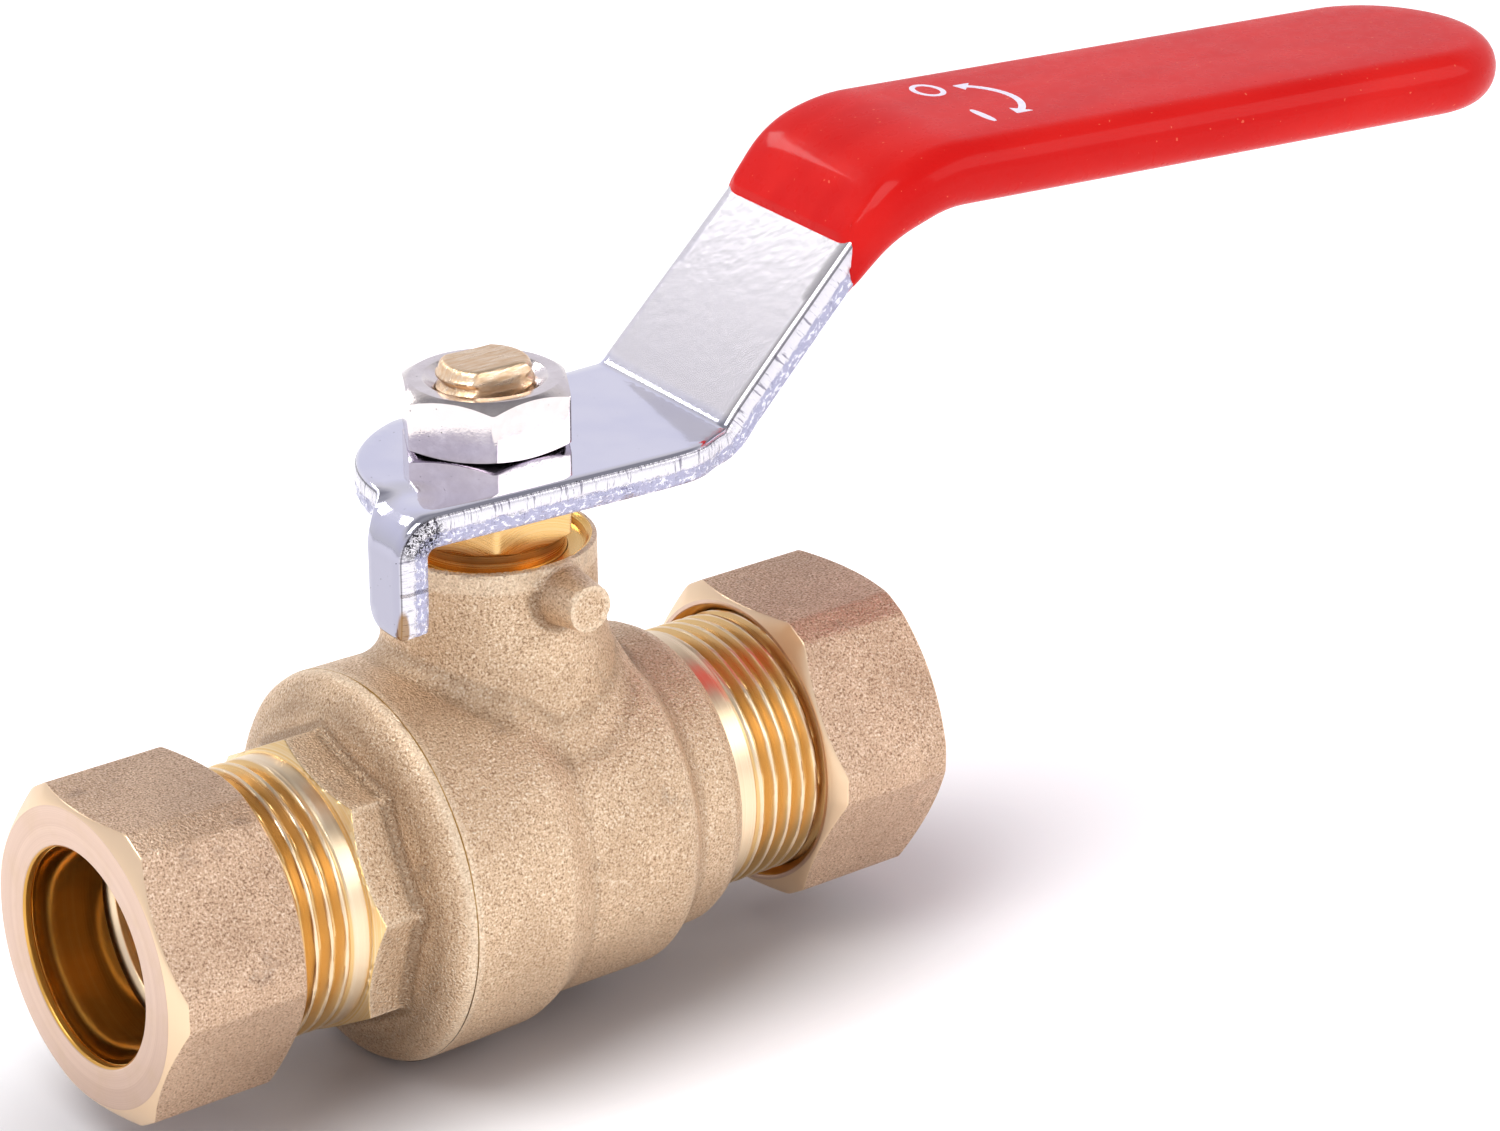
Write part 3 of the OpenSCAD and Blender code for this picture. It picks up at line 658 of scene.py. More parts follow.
def blank_skin(outline, rows, lift, place, spacing):
    """Closed skin of a cut blank: rows of (inset, height) make its edge, lift(u, v, side) its faces."""
    normals = outward(outline)
    flat = [(outline - normals * np.reshape(np.broadcast_to(inset, len(outline)), (-1, 1)), height)
            for inset, height in rows]
    heights = [np.broadcast_to(height, len(outline)) for _, height in flat]
    points, faces = skin([place(uv[:, 0], uv[:, 1], h) for (uv, _), h in zip(flat, heights)], closed=False)
    blank = [np.concatenate([uv[:, i] for uv, _ in flat]) for i in range(2)] + [np.concatenate(heights)]
    for side, ring in ((-1, 0), (1, len(rows) - 1)):
        loop = flat[ring][0]
        grid, triangles = filling(loop, spacing)
        height = lift(grid[:, 0], grid[:, 1], side)
        base, start = len(points), ring * len(outline)
        points = np.vstack([points, place(grid[:, 0], grid[:, 1], height)])
        blank = [np.concatenate(pair) for pair in zip(blank, (grid[:, 0], grid[:, 1], height))]
        renumber = list(range(start, start + len(loop))) + list(range(base, base + len(grid)))
        faces += [[renumber[i] for i in (f if side > 0 else f[::-1])] for f in triangles]
    return points, faces, blank


def lever_outline():
    """Flat blank of the lever, anticlockwise from the near edge of the stop tab."""
    near, far = LEVER_NEAR, 9.6
    hidden_u = HEM_U + 5
    near_side = [(TAB_END + 0.5, near), (-16, near), (4, near), (13.0, near), (16.6, near + 0.5),
                 (19.6, -13.0), (22.6, -11.95), (26, -11.7), (HEM_U, -11.4), (hidden_u, -11.4)]
    far_side = [(hidden_u, 11.4), (HEM_U, 11.4), (26, 11.7), (21.65, 11.7), (16, 11.15), (0, far),
                (-4.4, far)]
    end_angles = np.radians(np.arange(112, 177, 4))
    round_end = [(0.8 + 17.4 * math.cos(a), -6.7 + 17.4 * math.sin(a)) for a in end_angles]
    notch = [(-16.65, -6.4), (-17.0, -7.4), (-17.7, -8.3), (-18.7, -8.9)]
    corner = [(TAB_END + 2.6 * (1 - math.sin(a)), -11.6 + 2.6 * math.cos(a))
              for a in np.radians(np.arange(10, 81, 14))]
    tab = [(-20, -9.0), (TAB_END + 2.9, -9.0)] + corner + [(TAB_END, -11.9), (TAB_END, near + 0.9)]
    return spaced(cornered(near_side + far_side + round_end + notch + tab, 3), 0.42)


def lever():
    """Pressed lever: rolled over at its top edge, sheared then torn below it."""
    outline = lever_outline()
    half = PLATE_T / 2
    torn = RNG.normal(size=(3, len(outline)))
    torn = 0.05 * (torn + np.roll(torn, 1, 1) + np.roll(torn, -1, 1))
    rows = [(0.55, -half), (0.3, -half + 0.06), (0.16, -half + 0.3), (0.14 + torn[0], -1.0),
            (0.12 + torn[1], -0.55), (0.09 + torn[2], -0.1), (0.0, 0.15), (0.0, 0.6), (0.02, 1.0),
            (0.12, 1.35), (0.33, 1.62), (0.62, half)]

    def lift(u, v, side):
        return np.full(len(u), side * half)

    points, faces, blank = blank_skin(outline, rows, lift, bend, 0.9)
    ring = len(outline)
    along = np.zeros(len(points))
    edge = np.zeros(len(points))
    run = np.concatenate([[0], np.cumsum(np.linalg.norm(np.diff(outline, axis=0), axis=1))])
    for i in range(len(rows)):
        along[i * ring:(i + 1) * ring] = run
        edge[i * ring:(i + 1) * ring] = 1 if 1 <= i <= 9 else 0
    piece("lever_plated", points, faces, "lever_set", "lever_plating", PLATED, ["lever"], crease=38,
          marks={"along": along, "edge": edge, "height": blank[2], "blank_u": blank[0], "blank_v": blank[1]})


GRIP_W = 13.1                           # half the grip's width
HEM_W = 12.0                            # the same at its hem
CROWN = 0.16                            # rise of its faces above flat, in the middle


def grip_half(u):
    """Half the grip's thickness along it: thinner at the hem."""
    return 2.45 + 1.1 * ease_in((u - HEM_U) / 11)


def grip_place(u, v, w):
    """The grip's blank bent like the handle, with its hem cut upright."""
    lean = w * math.tan(RISE) * (1 - ease_in((u - HEM_U) / 9))
    x, z = side_point(u + lean, w)
    return rotated(np.stack([x, v, z], -1), LEVER_TURN)


def grip_outline():
    """Blank of the grip: a tongue with a round tip, a little narrower at the hem."""
    turn = np.radians(np.arange(-90, 91, 6))
    tip = [(TIP_U - GRIP_W + GRIP_W * math.cos(a), GRIP_W * math.sin(a)) for a in turn]
    corner_r = 1.6
    near = [(HEM_U + corner_r * (1 - math.sin(a)), -HEM_W + corner_r * (1 - math.cos(a)))
            for a in np.radians([90, 65, 40, 18])]
    near += [(u, -HEM_W - (GRIP_W - HEM_W) * float(ease_in((u - HEM_U) / 12)))
             for u in np.arange(HEM_U + 2, HEM_U + 13)]
    return spaced(near + tip + [(u, -v) for u, v in near[::-1]], 0.6)


def grip():
    """Dipped vinyl grip with full round edges and a thin lip at its hem."""
    outline = grip_outline()
    hem = 1 - ease_in((outline[:, 0] - HEM_U) / 1.2)
    hem = hem * ease_in((11.6 - np.abs(outline[:, 1])) / 2.2)
    half = grip_half(outline[:, 0])
    edge = half * (1 - hem) * 0.92 + 0.3 * hem
    turn = np.radians(np.linspace(-90, 90, 19))
    rows = [(edge * (1 - math.cos(a)), half * math.sin(a)) for a in turn]

    def lift(u, v, side):
        return side * (grip_half(u) + CROWN * (1 - (v / GRIP_W) ** 2) * ease_in((u - HEM_U) / 9))

    points, faces, _ = blank_skin(outline, rows, lift, grip_place, 1.1)
    piece("grip_vinyl", points, faces, "lever_set", "dipped_vinyl", VINYL, ["grip"], crease=60)


def printed(name, outline, hole=None):
    """A thin printed mark on top of the grip, from an outline on its blank."""
    def place(u, v, w):
        crown = CROWN * (1 - (v / GRIP_W) ** 2)
        return grip_place(u, v, grip_half(u) + crown + w)

    def lift(u, v, side):
        return np.full(len(u), top if side > 0 else bottom)

    bottom, top = -0.05, 0.03
    if hole is not None:
        rings = [(hole, bottom), (outline, bottom), (outline, top), (hole, top)]
        placed = [place(loop[:, 0], loop[:, 1], np.full(len(loop), w)) for loop, w in rings]
        points, faces = skin(placed, closed=True)
    else:
        points, faces, _ = blank_skin(outline, [(0, bottom), (0, top)], lift, place, 0.5)
    piece(name, points, faces, "lever_set", "dipped_vinyl", INK, crease=60)


def marks():
    """Open and shut marks: a ring, a bar and a curved arrow with a head at each end."""
    turn = ring_angles(48)
    ring_u, ring_v = UPPER_TO + 6.6, 5.2
    outer = np.stack([ring_u + 1.75 * np.cos(turn), ring_v + 2.35 * np.sin(turn)], -1)
    inner = np.stack([ring_u + 1.15 * np.cos(turn), ring_v + 1.7 * np.sin(turn)], -1)
    printed("mark_open", outer, inner)
    bar_u, bar_v = UPPER_TO + 6.3, -5.0
    bar = cornered([(bar_u - 0.45, bar_v - 2.2), (bar_u + 0.45, bar_v - 2.2), (bar_u + 0.45, bar_v + 2.2),
                    (bar_u - 0.45, bar_v + 2.2)], 2)
    printed("mark_shut", spaced(bar, 0.25))
    centre_u, centre_v, radius = UPPER_TO + 6.6, -0.4, 6.6
    sweep = np.radians(np.linspace(-46, 46, 24))
    head = math.radians(14)

    def spot(r, a):
        return centre_u + r * math.cos(a), centre_v + r * math.sin(a)

    def head_at(a, way):
        return [spot(radius + 1.3, a), spot(radius, a + way * head), spot(radius - 1.3, a)]

    outside = [spot(radius + 0.4, a) for a in sweep]
    inside = [spot(radius - 0.4, a) for a in sweep[::-1]]
    arrow = outside + head_at(sweep[-1], 1) + inside + head_at(sweep[0], -1)[::-1]
    printed("mark_turn", spaced(arrow, 0.25))


# ---------------------------------------------------------------- materials

class Shade:
    """Builds one procedural material. Coordinates are millimetres of the row frame at rest."""

    def __init__(self, name, **shader):
        self.material = bpy.data.materials.new(name)
        self.material.use_nodes = True
        self.tree = self.material.node_tree
        self.shader = self.tree.nodes["Principled BSDF"]
        for key, value in shader.items():
            self.shader.inputs[key.replace("_", " ")].default_value = value
        place = self.node("ShaderNodeTexCoord")
        self.place = self.vector("SCALE", place.outputs["Object"], scale=1 / MM)
        parts = self.node("ShaderNodeSeparateXYZ", Vector=self.place)
        self.x, self.y, self.z = parts.outputs

    def node(self, kind, settings=None, **inputs):
        made = self.tree.nodes.new(kind)
        for key, value in (settings or {}).items():
            setattr(made, key, value)
        for key, value in inputs.items():
            self.feed(made.inputs[key.replace("_", " ")], value)
        return made

    def feed(self, socket, value):
        if isinstance(value, bpy.types.NodeSocket):
            self.tree.links.new(value, socket)
        else:
            socket.default_value = value

    def vector(self, operation, a, b=None, scale=None):
        made = self.node("ShaderNodeVectorMath", {"operation": operation})
        self.feed(made.inputs[0], a)
        if b is not None:
            self.feed(made.inputs[1], b)
        if scale is not None:
            self.feed(made.inputs["Scale"], scale)
        return made.outputs["Value" if operation == "LENGTH" else "Vector"]

    def math(self, operation, *values):
        made = self.node("ShaderNodeMath", {"operation": operation})
        for socket, value in zip(made.inputs, values):
            self.feed(socket, value)
        return made.outputs[0]

    def times(self, a, b):
        return self.math("MULTIPLY", a, b)

    def plus(self, a, b):
        return self.math("ADD", a, b)

    def minus(self, a, b):
        return self.math("SUBTRACT", a, b)

    def noise(self, scale, detail=2.0, roughness=0.5, at=None, shift=None, stretch=None, distortion=0.0):
        at = self.place if at is None else at
        if shift is not None:
            at = self.vector("ADD", at, shift)
        if stretch is not None:
            at = self.vector("MULTIPLY", at, stretch)
        made = self.node("ShaderNodeTexNoise", Vector=at, Scale=scale, Detail=detail, Roughness=roughness,
                         Distortion=distortion)
        return made.outputs["Fac"]

    def cells(self, scale):
        made = self.node("ShaderNodeTexVoronoi", {"feature": "SMOOTH_F1"}, Scale=scale, Vector=self.place)
        return made.outputs["Distance"]

    def span(self, value, start, end, out=(0.0, 1.0)):
        """A number that goes smoothly from out[0] at start to out[1] at end."""
        made = self.node("ShaderNodeMapRange", {"interpolation_type": "SMOOTHSTEP"})
        keys = ("Value", "From Min", "From Max", "To Min", "To Max")
        for key, number in zip(keys, (value, start, end) + out):
            self.feed(made.inputs[key], number)
        return made.outputs[0]

    def mix(self, share, a, b):
        made = self.node("ShaderNodeMix", {"data_type": "RGBA"})
        for index, value in ((0, share), (6, a), (7, b)):
            self.feed(made.inputs[index], value)
        return made.outputs[2]

    def mix_vectors(self, share, a, b):
        made = self.node("ShaderNodeMix", {"data_type": "VECTOR"})
        for index, value in ((0, share), (4, a), (5, b)):
            self.feed(made.inputs[index], value)
        return made.outputs[1]

    def mix_numbers(self, share, a, b):
        kept = self.times(a, self.minus(1.0, share))
        return self.plus(kept, self.times(share, b))

    def point(self, x, y=0.0, z=0.0):
        return self.node("ShaderNodeCombineXYZ", X=x, Y=y, Z=z).outputs[0]

    def bump(self, height, depth):
        """Bump of that depth in millimetres."""
        return self.node("ShaderNodeBump", Height=height, Distance=depth * MM, Strength=1.0).outputs[0]

    def attribute(self, name):
        return self.node("ShaderNodeAttribute", {"attribute_name": name}).outputs["Fac"]

    def finish(self, **shader):
        for key, value in shader.items():
            self.feed(self.shader.inputs[key.replace("_", " ")], value)
        return self.material


def rgb(red, green, blue):
    """Linear colour from display values of 11 to 255."""
    return tuple(((v / 255 + 0.055) / 1.055) ** 2.4 for v in (red, green, blue)) + (1,)


def blasted(shade, tone, dark, light):
    """Colour, roughness and bump of a shot-blasted forging."""
    grit = shade.noise(4.2, 2.0, 0.6)
    pits = shade.cells(3.4)
    cloud = shade.noise(0.11, 3.0, 0.6)
    stain = shade.span(shade.noise(0.16, 4.0, 0.65, shift=(31.0, 7.0, 3.0)), 0.6, 0.74)
    colour = shade.mix(shade.span(grit, 0.28, 0.5), dark, tone)
    colour = shade.mix(shade.span(grit, 0.52, 0.74), colour, light)
    colour = shade.mix(shade.span(cloud, 0.35, 0.7, (0.0, 0.25)), colour, dark)
    colour = shade.mix(shade.times(stain, 0.3), colour, rgb(98, 84, 80))
    rough = shade.span(grit, 0.35, 0.7, (0.6, 0.34))
    height = shade.plus(shade.times(grit, 0.75), shade.times(pits, 0.35))
    return colour, rough, shade.bump(height, 0.2)


def lathe_marks(shade, across, spacing=0.16):
    """Fine turning marks: a height that changes only along across."""
    one = shade.point(across)
    fine = shade.noise(1.0 / spacing, 2.0, 0.6, at=one)
    broad = shade.noise(0.22 / spacing, 1.0, 0.5, at=one)
    return shade.plus(shade.times(fine, 0.6), shade.times(broad, 0.4))


def around_x(shade):
    """Distance from the pipe axis."""
    return shade.vector("LENGTH", shade.vector("MULTIPLY", shade.place, (0.0, 1.0, 1.0)))


def around_z(shade):
    """Distance from the stem's axis."""
    return shade.vector("LENGTH", shade.vector("MULTIPLY", shade.place, (1.0, 1.0, 0.0)))


def turned_brass(name, tone, bright, axis="x", rough=0.2, depth=0.012, crest=False):
    """Turned brass: rings along the axis and across the faces, with faint tarnish."""
    shade = Shade(name, Metallic=1.0)
    radius = around_x(shade) if axis == "x" else around_z(shade)
    across = shade.plus(radius, shade.x if axis == "x" else shade.z)
    rings = lathe_marks(shade, across)
    cloud = shade.noise(0.35, 3.0, 0.6)
    colour = shade.mix(shade.span(rings, 0.35, 0.65), tone, bright)
    colour = shade.mix(shade.span(cloud, 0.5, 0.8, (0.0, 0.35)), colour, tone)
    # Painted bounce light: thread flanks and roots are painted deeper gold than the crests.
    if crest:
        outer = shade.span(radius, THREAD_R - 0.16, THREAD_R - 0.05)
        inner = shade.math("LESS_THAN", radius, THREAD_R - 1.2)
        colour = shade.mix(shade.math("MAXIMUM", outer, inner), FLANK, colour)
    gloss = shade.span(rings, 0.3, 0.7, (rough * 0.8, rough * 1.35))
    return shade.finish(Base_Color=colour, Roughness=gloss, Normal=shade.bump(rings, depth))


CREAM = rgb(246, 222, 182)
GOLD = rgb(232, 190, 112)
# AMBER is painted bounce light and shade: the deeper tone brass takes inside recesses.
AMBER = rgb(222, 170, 84)
# FLANK is painted bounce light: the deeper gold of thread grooves.
FLANK = rgb(230, 192, 132)


def forging_material(name, machined=None):
    """Blasted forging; machined is a node socket that is 1 where it was turned bright afterwards."""
    shade = Shade(name, Metallic=0.92)
    colour, rough, bump = blasted(shade, rgb(222, 193, 160), rgb(160, 128, 98), rgb(253, 238, 214))
    off_seam = shade.math("ABSOLUTE", shade.minus(shade.x, SPLIT_X))
    seam = shade.span(off_seam, 0.03, 0.11, (1.0, 0.0))
    # Painted shade darkens the creases.
    colour = shade.mix(shade.times(shade.attribute("hollow"), 0.55), colour, rgb(112, 84, 58))
    # Painted highlight, together with edge wear, lightens the outer edges.
    colour = shade.mix(shade.times(shade.attribute("worn"), 0.3), colour, rgb(255, 240, 214))
    # The seam is a dark joint, painted darker towards the bottom as painted shade.
    seam_tone = shade.mix(shade.span(shade.z, -14.0, 8.0), rgb(70, 48, 26), rgb(190, 150, 84))
    colour = shade.mix(seam, colour, seam_tone)
    if machined is None:
        return shade.finish(Base_Color=colour, Roughness=rough, Normal=bump)
    bright = machined(shade)
    rings = lathe_marks(shade, around_x(shade))
    smooth = shade.mix(shade.span(rings, 0.35, 0.65), GOLD, CREAM)
    colour = shade.mix(bright, colour, smooth)
    return shade.finish(Base_Color=colour, Roughness=shade.mix_numbers(bright, rough, 0.28),
                        Normal=shade.mix_vectors(bright, bump, shade.bump(rings, 0.012)))


def cone_cut(shade):
    """1 on the cone turned on the cap's octagon."""
    cone = shade.math("MULTIPLY_ADD", shade.minus(shade.x, CONE_FROM), CONE_SLOPE, THREAD_R)
    off = shade.math("ABSOLUTE", shade.minus(around_x(shade), cone))
    on = shade.span(off, 0.1, 0.2, (1.0, 0.0))
    return shade.times(on, shade.math("LESS_THAN", shade.x, -24.0))


def nut_material(name, face_x, inwards):
    """Nut: blasted flats, with turned faces, chamfers painted lighter as a painted highlight, and an inside
    painted amber as painted bounce light and shade.
    """
    shade = Shade(name, Metallic=0.92)
    colour, rough, bump = blasted(shade, rgb(216, 184, 155), rgb(150, 118, 92), rgb(250, 228, 204))
    radius = around_x(shade)
    depth = shade.times(shade.minus(shade.x, face_x), float(inwards))
    ends = shade.math("MINIMUM", depth, shade.minus(NUT_LENGTH, depth))
    cone = shade.math("MULTIPLY_ADD", ends, 1 / NUT_SLOPE, NUT_FACE_R)
    bright = shade.math("MAXIMUM", shade.span(shade.minus(cone, radius), 0.12, 0.2, (1.0, 0.0)),
                        shade.math("LESS_THAN", radius, 15.55))
    rings = lathe_marks(shade, shade.plus(radius, shade.x), 0.2)
    cloud = shade.noise(0.3, 3.0, 0.6)
    face = shade.mix(shade.span(rings, 0.35, 0.65), rgb(206, 176, 156), rgb(218, 190, 170))
    face = shade.mix(shade.span(cloud, 0.45, 0.75, (0.0, 0.4)), face, rgb(204, 174, 142))
    # Painted bounce light and shade: the nut's inside is painted amber.
    inner = shade.times(shade.math("GREATER_THAN", ends, 0.12), shade.math("LESS_THAN", radius, 15.25))
    inner = shade.math("MAXIMUM", inner, shade.math("LESS_THAN", radius, 11.5))
    face = shade.mix(inner, face, AMBER)
    # Painted highlight: the chamfers are painted lighter and more golden than the faces.
    face = shade.mix(shade.math("GREATER_THAN", radius, 15.62), face, rgb(238, 208, 172))
    colour = shade.mix(bright, colour, face)
    return shade.finish(Base_Color=colour, Roughness=shade.mix_numbers(bright, rough, 0.32),
                        Normal=shade.mix_vectors(bright, bump, shade.bump(rings, 0.02)))


class Plating:
    """Where a point lies on the lever's blank, and the noises that its surface and its tones share."""

    def __init__(self, shade):
        self.edge = shade.attribute("edge")
        self.along, self.height = shade.attribute("along"), shade.attribute("height")
        self.u, self.v = shade.attribute("blank_u"), shade.attribute("blank_v")
        self.rising = shade.span(self.u, LOWER_TO - 0.6, LOWER_TO + 0.8)
        strokes = shade.point(self.along, shade.times(self.height, 0.12))
        self.scratch = shade.noise(2.6, 3.0, 0.6, at=strokes)
        patches = shade.point(self.along, shade.times(self.height, 1.6))
        self.ragged = shade.noise(1.3, 4.0, 0.65, at=patches)
        torn = shade.plus(self.height, shade.times(self.ragged, 1.4))
        self.torn = shade.span(torn, 0.45, 0.75, (1.0, 0.0))


def plating_surface(shade, at):
    """Bump of the plating: a dent by the tab, orange peel on the rise, and a sheared, torn edge."""
    ripple = shade.bump(shade.noise(0.9, 2.0, 0.5), 0.018)
    dent = shade.vector("LENGTH", shade.vector("SUBTRACT", shade.point(at.u, at.v), (-15.2, -9.2, 0.0)))
    dent = shade.span(dent, 0.0, 4.6, (-0.32, 0.0))
    wave = shade.times(shade.noise(0.18, 1.0, 0.4), 0.02)
    flat = shade.bump(shade.plus(dent, wave), 1.0)
    edge = shade.plus(at.scratch, shade.times(at.ragged, at.torn))
    return shade.mix_vectors(at.edge, shade.mix_vectors(at.rising, flat, ripple), shade.bump(edge, 0.16))


def plating_tone(shade, at):
    """Colour of the plating: its faces, the tab painted darker as painted shade, and the burnished and the
    torn part of its edge.
    """
    cloud = shade.span(shade.noise(0.12, 2.0, 0.5), 0.3, 0.7)
    tone = shade.mix(cloud, rgb(222, 221, 236), rgb(232, 230, 240))
    on_tab = shade.span(at.u, TAB_CX - 4.4, TAB_CX - 1.5, (1.0, 0.0))
    tone = shade.mix(at.rising, tone, rgb(226, 222, 224))
    # Painted shade: the bent-down tab is painted darker than the rest of the plating.
    tone = shade.mix(on_tab, tone, rgb(170, 168, 182))
    burnished = shade.mix(shade.span(at.scratch, 0.56, 0.64), rgb(226, 223, 228), rgb(150, 147, 158))
    fracture = shade.mix(shade.span(at.ragged, 0.52, 0.6), rgb(176, 175, 198), rgb(236, 235, 244))
    return shade.mix(at.edge, tone, shade.mix(at.torn, burnished, fracture))


def plating_damage(shade, at, colour):
    """Specks, a dark line of painted shade under the rolled edge, a worn brown corner and cracks by the tab's
    bend.
    """
    speck = shade.span(shade.noise(3.0, 1.0, 0.5, shift=(5.0, 9.0, 2.0)), 0.78, 0.82)
    colour = shade.mix(speck, colour, rgb(60, 58, 66))
    # Painted shade: a dark line along the curve of the rolled edge.
    off_line = shade.math("ABSOLUTE", shade.minus(at.height, 1.42))
    colour = shade.mix(shade.span(off_line, 0.02, 0.1, (0.75, 0.0)), colour, rgb(70, 66, 74))
    spot = shade.point(at.u, at.v, at.height)
    corner = shade.vector("SUBTRACT", spot, (TAB_END + 0.4, LEVER_NEAR + 0.05, 1.35))
    corner = shade.vector("LENGTH", shade.vector("MULTIPLY", corner, (0.3, 1.2, 1.2)))
    colour = shade.mix(shade.span(corner, 0.75, 1.05, (0.85, 0.0)), colour, rgb(150, 112, 60))
    crack_at = (TAB_CX - 1.6, LEVER_NEAR + 0.05, 0.2)
    near_bend = shade.span(shade.vector("LENGTH", shade.vector("SUBTRACT", spot, crack_at)), 1.5, 3.0,
                           (1.0, 0.0))
    cracks = shade.span(shade.noise(1.9, 5.0, 0.8, distortion=2.0), 0.47, 0.53)
    cracks = shade.times(shade.times(cracks, near_bend), at.edge)
    return shade.mix(cracks, colour, rgb(28, 26, 30))


def plated_material():
    """Bright plating over pressed steel."""
    shade = Shade("bright_plating", Metallic=1.0)
    at = Plating(shade)
    colour = plating_damage(shade, at, plating_tone(shade, at))
    gloss = shade.plus(shade.span(at.rising, 0.0, 1.0, (0.07, 0.2)), shade.times(at.edge, 0.16))
    return shade.finish(Base_Color=colour, Roughness=gloss, Normal=plating_surface(shade, at))


def nickel_material():
    """Nickel plating of the lever nut, a little hazy."""
    shade = Shade("nickel_plating", Metallic=1.0)
    haze = shade.noise(0.5, 3.0, 0.6)
    grain = shade.noise(3.0, 2.0, 0.5)
    colour = shade.mix(shade.span(haze, 0.35, 0.7), rgb(226, 216, 213), rgb(237, 228, 226))
    pit = shade.span(shade.noise(2.4, 1.0, 0.5), 0.76, 0.8)
    colour = shade.mix(pit, colour, rgb(110, 100, 96))
    return shade.finish(Base_Color=colour, Roughness=shade.span(haze, 0.3, 0.7, (0.1, 0.2)),
                        Normal=shade.bump(grain, 0.012))


def stem_material():
    """Brass of the stem, with saw marks across its end."""
    shade = Shade("stem_brass", Metallic=1.0)
    saw = shade.noise(1.6, 3.0, 0.6, stretch=(0.25, 2.2, 1.0))
    cloud = shade.noise(0.6, 3.0, 0.6)
    colour = shade.mix(shade.span(saw, 0.35, 0.68), rgb(238, 202, 160), rgb(252, 228, 198))
    colour = shade.mix(shade.span(cloud, 0.5, 0.8, (0.0, 0.5)), colour, rgb(204, 160, 110))
    return shade.finish(Base_Color=colour, Roughness=shade.span(saw, 0.3, 0.7, (0.42, 0.26)),
                        Normal=shade.bump(saw, 0.07))


def vinyl_material():
    """Red dipped vinyl: glossy and gently uneven, with a little dust."""
    shade = Shade("red_vinyl", Coat_Weight=0.14, Coat_Roughness=0.07, Specular_IOR_Level=0.05, IOR=1.36)
    peel = shade.noise(0.16, 0.0, 0.5)
    fine = shade.noise(0.7, 1.0, 0.5)
    streak = shade.noise(0.18, 1.0, 0.5, stretch=(0.3, 1.0, 1.0))
    colour = shade.mix(shade.span(streak, 0.3, 0.75), rgb(203, 24, 22), rgb(212, 32, 28))
    dust = shade.span(shade.noise(2.2, 0.0, 0.5, shift=(2.0, 8.0, 5.0)), 0.83, 0.86)
    colour = shade.mix(shade.times(dust, 0.6), colour, rgb(240, 120, 90))
    return shade.finish(Base_Color=colour, Roughness=shade.span(fine, 0.3, 0.7, (0.26, 0.34)),
                        Normal=shade.bump(peel, 0.08))


def plain_material(name, tone, other, rough, metallic=0.0, depth=0.01, scale=0.9):
    """A quiet material with a little unevenness in colour, gloss and height."""
    shade = Shade(name, Metallic=metallic)
    cloud = shade.noise(scale, 3.0, 0.6)
    return shade.finish(Base_Color=shade.mix(shade.span(cloud, 0.3, 0.7), tone, other),
                        Roughness=shade.span(cloud, 0.3, 0.7, (rough, rough * 1.3)),
                        Normal=shade.bump(shade.noise(scale * 4, 2.0, 0.5), depth))


BLASTED_BODY = forging_material("blasted_brass")
BLASTED_CAP = forging_material("blasted_brass_cap", cone_cut)
NUT_LEFT = nut_material("nut_brass_left", low("nut_left")[0], 1)
NUT_RIGHT = nut_material("nut_brass_right", high("nut_right")[0], -1)
TURNED = turned_brass("turned_brass", rgb(240, 212, 172), rgb(246, 226, 194), rough=0.3, crest=True)
# The bonnet's bore is painted amber and gold: painted bounce light and shade in the recess.
TURNED_DEEP = turned_brass("turned_brass_bonnet", AMBER, GOLD, axis="z", rough=0.16, depth=0.03)
TURNED_GOLD = turned_brass("turned_brass_gland", rgb(222, 178, 110), rgb(238, 200, 140), axis="z", rough=0.26)
# The sleeves inside the nuts are painted amber and gold: painted bounce light and shade in the bore.
SLEEVE = turned_brass("sleeve_brass", AMBER, GOLD, rough=0.13, depth=0.006)
PLATED = plated_material()
NICKEL = nickel_material()
STEM_END = stem_material()
VINYL = vinyl_material()
INK = plain_material("print_ink", rgb(232, 222, 238), rgb(240, 234, 244), 0.4)
CHROME_BALL = plain_material("ball_chrome", rgb(214, 214, 218), rgb(226, 226, 230), 0.06, 1.0, 0.003, 0.3)
PTFE = plain_material("white_ptfe", rgb(228, 226, 218), rgb(238, 237, 232), 0.42)
RUBBER = plain_material("black_rubber", rgb(26, 26, 27), rgb(38, 38, 38), 0.55)


def dress_inner_nodes():
    """Inner parts keep their CAD shapes and get their own materials."""
    for node in ("body_seal", "seat_left", "seat_right", "thrust_washer", "packing_lower", "packing_upper"):
        dress(node, PTFE)
    dress("ball", CHROME_BALL)
    dress("stem_o_ring", RUBBER)


def dress(node, material):
    obj = frame["nodes"][node]
    for slot in obj.material_slots:
        slot.material = material


# ---------------------------------------------------------------- studio

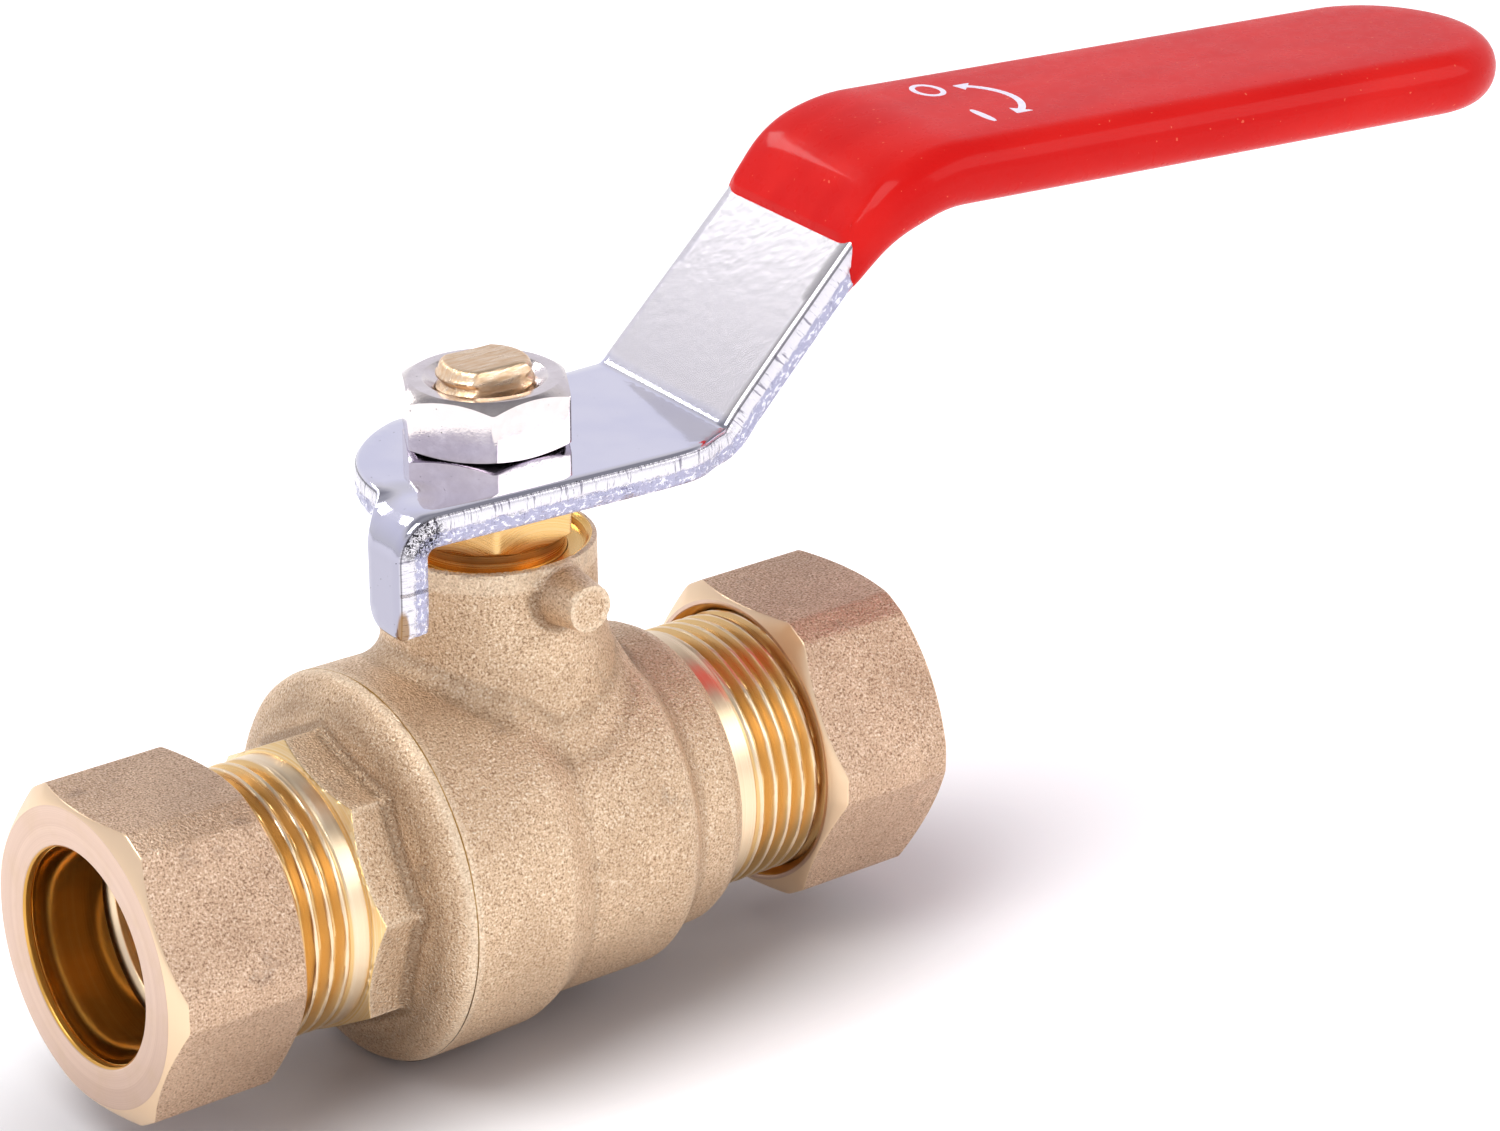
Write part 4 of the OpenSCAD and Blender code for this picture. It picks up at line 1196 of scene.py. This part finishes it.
def floor():
    """A wide pale floor just under the lowest point of the valve, painted darker near it as a painted contact
    shadow, with a painted glow that grows away from it.
    """
    size = 3.0
    level = CAD_BOX[0][2] - 0.0002
    mesh = bpy.data.meshes.new("floor")
    corners = [(-size, -size, level), (size, -size, level), (size, size, level), (-size, size, level)]
    mesh.from_pydata(corners, [], [(0, 1, 2, 3)])
    shade = Shade("pale_floor", Roughness=0.6)
    cloud = shade.noise(0.004, 2.0, 0.5)
    tone = shade.mix(cloud, rgb(240, 240, 241), rgb(246, 246, 247))
    away = shade.vector("LENGTH", shade.vector("MULTIPLY", shade.place, (0.35, 1.0, 0.0)))
    # Painted contact shadow: the floor's colour darkens near the valve.
    tone = shade.mix(shade.span(away, 5.0, 32.0), rgb(172, 168, 169), tone)
    # Painted light: the floor glows, more so away from the valve.
    glow = shade.span(away, 10.0, 46.0, (0.0, 0.45))
    mesh.materials.append(shade.finish(Base_Color=tone, Emission_Color=tone, Emission_Strength=glow))
    obj = bpy.data.objects.new("floor", mesh)
    bpy.context.scene.collection.objects.link(obj)


def panel(name, place, towards, size, power, tone=(1, 1, 1)):
    """A soft rectangular light at place, aimed at towards."""
    light = bpy.data.lights.new(name, "AREA")
    light.shape = "RECTANGLE"
    light.size, light.size_y = size
    light.energy = power
    light.color = tone
    obj = bpy.data.objects.new(name, light)
    obj.location = place
    obj.rotation_euler = (Vector(towards) - Vector(place)).to_track_quat("-Z", "Y").to_euler()
    bpy.context.scene.collection.objects.link(obj)


def studio():
    """Pale surroundings that are dim overhead, and soft panels at the sides."""
    world = bpy.data.worlds.new("studio")
    bpy.context.scene.world = world
    world.use_nodes = True
    tree = world.node_tree
    place = tree.nodes.new("ShaderNodeTexCoord")
    parts = tree.nodes.new("ShaderNodeSeparateXYZ")
    ramp = tree.nodes.new("ShaderNodeValToRGB")
    tree.links.new(place.outputs["Generated"], parts.inputs[0])
    tree.links.new(parts.outputs["Z"], ramp.inputs[0])
    stops = [(0.0, (0.95, 0.95, 0.97)), (0.2, (0.86, 0.86, 0.93)), (0.42, (0.78, 0.78, 0.89)),
             (0.6, (0.7, 0.69, 0.71)), (0.7, (0.4, 0.4, 0.43)), (0.78, (0.26, 0.26, 0.29)),
             (1.0, (0.34, 0.34, 0.36))]
    elements = ramp.color_ramp.elements
    while len(elements) < len(stops):
        elements.new(0.5)
    for element, (position, tone) in zip(elements, stops):
        element.position = position
        element.color = tone + (1,)
    tree.links.new(ramp.outputs[0], tree.nodes["Background"].inputs[0])
    tree.nodes["Background"].inputs[1].default_value = 1.0
    centre = (0.02, 0.0, 0.015)
    panel("left_panel", (-0.5, -0.05, 1.05), centre, (0.8, 0.6), 8.0)
    panel("front_panel", (0.75, -0.85, 0.65), centre, (0.9, 0.6), 3.4, (1.0, 0.98, 0.96))
    panel("back_panel", (-0.08, 1.05, 0.75), centre, (0.34, 0.16), 1.5)
    bpy.context.scene.view_settings.view_transform = "Standard"


def camera():
    """Long lens from the front left, a little above."""
    data = bpy.data.cameras.new("camera")
    data.lens = 120.0
    data.sensor_width = 36.0
    data.clip_start, data.clip_end = 0.01, 20.0
    obj = bpy.data.objects.new("camera", data)
    azimuth, elevation = math.radians(-38.3951), math.radians(22.9356)
    place = Vector((-270.479, -384.086, 227.293)) * MM
    turn = Matrix.Rotation(azimuth, 4, "Z") @ Matrix.Rotation(TAU / 4 - elevation, 4, "X")
    obj.matrix_world = Matrix.Translation(place) @ turn
    bpy.context.scene.collection.objects.link(obj)
    bpy.context.scene.camera = obj


camera()
castings()
necks()
bonnet_bore()
compression_nut("nut_left", low("nut_left")[0], 1, "nut_left")
compression_nut("nut_right", high("nut_right")[0], -1, "nut_right")
ferrule("ferrule_left", "sleeve_left")
ferrule("ferrule_right", "sleeve_right")
gland_nut()
lever_nut()
spindle()
lever()
grip()
marks()
dress_inner_nodes()
floor()
studio()
